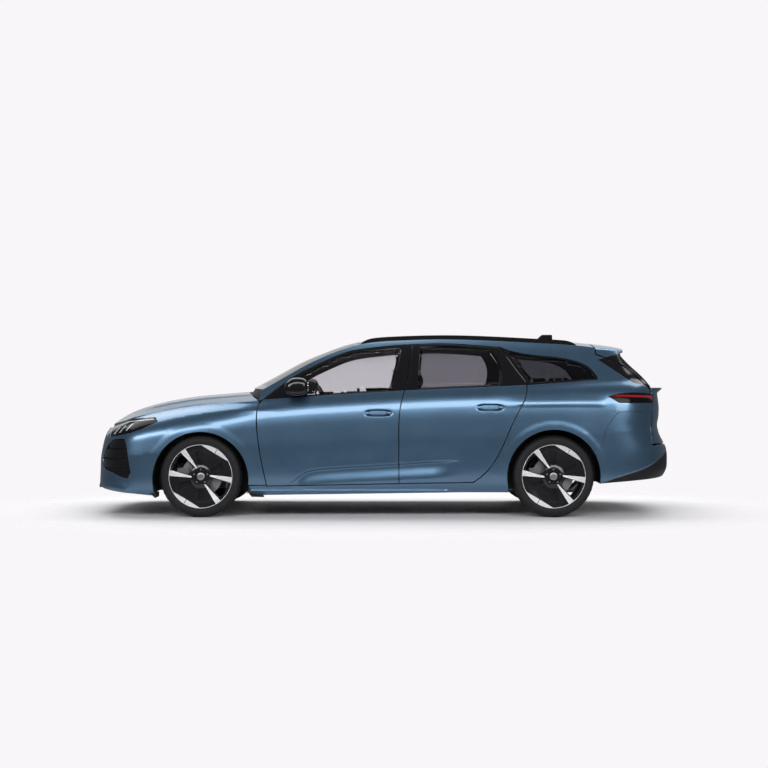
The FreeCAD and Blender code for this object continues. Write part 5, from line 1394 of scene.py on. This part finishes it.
def cushion(low, high, crown, lines, lean=0.0, around=None):
    low, high = np.array(low, float), np.array(high, float)
    bm = bmesh.new()
    bmesh.ops.create_cube(bm, size=2.0)
    bmesh.ops.subdivide_edges(bm, edges=bm.edges[:], cuts=31, use_grid_fill=True)
    unit = np.array([v.co for v in bm.verts])
    length = (np.abs(unit) ** cushionPower).sum(axis=1) ** (1 / cushionPower)
    form = unit / length[:, None]
    half = (high - low) / 2 - crown
    middle = (high + low) / 2
    pts = middle + form * half
    bulge = np.cos(np.clip(form, -1, 1) * math.pi / 2)
    for axis in range(3):
        others = [a for a in range(3) if a != axis]
        grow = bulge[:, others[0]] ** 0.6 * bulge[:, others[1]] ** 0.6
        pts[:, axis] += crown * grow * np.sign(form[:, axis]) * np.abs(form[:, axis]) ** 3
    for axis, place in lines:
        away = np.abs(pts[:, axis] - place)
        pinch = seams["depth"] * np.exp(-(away / seams["width"]) ** 2)
        pts -= (pts - middle) * pinch[:, None] * (np.arange(3) != axis)
    if lean:
        c, sn = math.cos(math.radians(lean)), math.sin(math.radians(lean))
        dx, dz = pts[:, 0] - around[0], pts[:, 2] - around[1]
        pts[:, 0], pts[:, 2] = around[0] + dx * c + dz * sn, around[1] - dx * sn + dz * c
    for vert, p in zip(bm.verts, pts):
        vert.co = at(*p)
    bmesh.ops.recalc_face_normals(bm, faces=bm.faces[:])
    return bm


# Corners, crown, sewn lines as (axis, place), and the lean about a point
seatParts = {"cushion": dict(low=(-315, -600, 340), high=(190, -150, 480), crown=22,
                             lines=[(1, -500), (1, -250), (0, 40)]),
             "back": dict(low=(90, -590, 430), high=(205, -160, 985), crown=20,
                          lines=[(1, -495), (1, -255), (2, 640), (2, 800)], lean=14, around=(150, 430)),
             "headrest": dict(low=(222, -480, 985), high=(296, -270, 1110), crown=14, lines=[(1, -375)], lean=8,
                              around=(260, 1050))}
rearParts = {"rear_cushion": dict(low=(472, -515, 330), high=(868, 515, 505), crown=24,
                                  lines=[(1, -172), (1, 172), (0, 640)]),
             "rear_back": dict(low=(900, -515, 500), high=(1020, 515, 985), crown=20,
                               lines=[(1, -172), (1, 172), (2, 700)], lean=7, around=(960, 500))}
seatFrame = [(-290, 222), (180, 222), (215, 420), (150, 400), (-290, 350)]
postShape = [(243, 950), (253, 950), (262, 1010), (252, 1010)]


def addCushion(name, shape, side="left", replaces=()):
    piece = addPiece(name, cushion(**shape), [cloth], "root", side, replaces, "seat_cloth", 180)


for side in sides:
    for name, shape in seatParts.items():
        stands = name == "cushion" and side == "left"
        addCushion("front_seat_%s_%s" % (name, side), shape, side, ["seats"] if stands else ())
    addPiece("front_seat_frame_" + side, slab(seatFrame, -560, -190, 8), [trim], "root", side, slot="black_trim")
    posts = [(slab(postShape, y - 5, y + 5, 2), 0) for y in (-420, -330)]
    addPiece("headrest_posts_" + side, joinMeshes(posts), [steel], "root", side, slot="bare_metal")
for name, shape in rearParts.items():
    addCushion(name, shape)
addPiece("rear_seat_frame", slab([(480, 222), (880, 222), (900, 400), (480, 340)], -500, 500, 8), [trim], "root",
         slot="black_trim")
print("seats made")

# CAD nodes that are shown as they are, with their own finishes
finishes = {"floor_pan": under, "wheel_arch_liners": plastic, "front_subframe": castIron, "rear_axle": castIron,
            "exhaust": steel, "engine": castIron, "knuckle_left": castIron, "knuckle_right": castIron,
            "scuttle_panel": plastic, "roof_rails": gloss, "dashboard": trim, "steering_wheel": trim}
for cadName, mat in finishes.items():
    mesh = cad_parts[cadName].data
    mesh.materials.clear()
    mesh.materials.append(mat)

# Camera, light and floor
camera = linked("Camera", bpy.data.cameras.new("Camera"))
camera.data.lens = 72.96
camera.data.sensor_width = 36
camera.data.clip_end = 100
camera.location = (0.0025, -12.92, 1.033)
camera.rotation_euler = (math.pi / 2, 0, 0)
bpy.context.scene.camera = camera

floorMesh = bmesh.new()
bmesh.ops.create_grid(floorMesh, x_segments=1, y_segments=1, size=12)
floor = addObject("floor", floorMesh)
floorMat, tree = newMaterial("Floor")
shader = fill(tree, tree.nodes["Principled BSDF"], (),
              {"Base Color": (0.90, 0.885, 0.90, 1), "Roughness": 0.6, "Specular IOR Level": 0.1})
place = node(tree, "TexCoord").outputs["Object"]
stretch = node(tree, "Mapping", {"Vector": place}, {"Scale": (1 / 3.3, 1 / 2.3, 0)})
reach = node(tree, "VectorMath", {0: stretch.outputs["Vector"]}, operation="LENGTH")
fade = node(tree, "MapRange", {"Value": reach.outputs["Value"]}, {"From Min": 0.72, "From Max": 1.15},
            interpolation_type="SMOOTHSTEP")
clear = node(tree, "BsdfTransparent")
mixer = node(tree, "MixShader", {0: fade.outputs["Result"], 1: shader.outputs[0], 2: clear.outputs[0]})
fill(tree, tree.nodes["Material Output"], {"Surface": mixer.outputs[0]})
floor.data.materials.append(floorMat)
floor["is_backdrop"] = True

world = bpy.data.worlds.new("Studio")
bpy.context.scene.world = world
world.use_nodes = True
tree = world.node_tree
background = fill(tree, tree.nodes["Background"], (), {"Color": (0.40, 0.41, 0.43, 1), "Strength": 0.3})
white = node(tree, "Background", (), {"Color": (0.945, 0.922, 0.945, 1)})
path = node(tree, "LightPath")
pick = node(tree, "MixShader", {0: path.outputs["Is Camera Ray"], 1: background.outputs[0], 2: white.outputs[0]})
fill(tree, tree.nodes["World Output"], {"Surface": pick.outputs[0]})


def softbox(name, place, target, size, power):
    light = bpy.data.lights.new(name, "AREA")
    light.shape = "RECTANGLE"
    light.size, light.size_y = size
    light.energy = power
    obj = linked(name, light)
    obj.location = place
    obj.rotation_euler = (Vector(target) - Vector(place)).to_track_quat("-Z", "Y").to_euler()
    return obj


softbox("TopLight", (0, 1.7, 4.6), (0, 0.6, 0), (11, 4.4), 420)
softbox("SideLight", (0, -6.5, 3.3), (0, 0, 0.8), (14, 1.5), 420)
softbox("FarLight", (0, 7.5, 2.8), (0, 0, 0.9), (12, 3.0), 75).visible_camera = False
softbox("TailLight", (5.6, -8.0, 2.4), (2.0, -0.9, 0.75), (3, 1.8), 70)
softbox("NoseLight", (-5.8, -8.0, 3.2), (-2.0, -0.9, 0.5), (3, 1.8), 60)
bpy.context.scene.view_settings.view_transform = "Standard"

low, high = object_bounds()
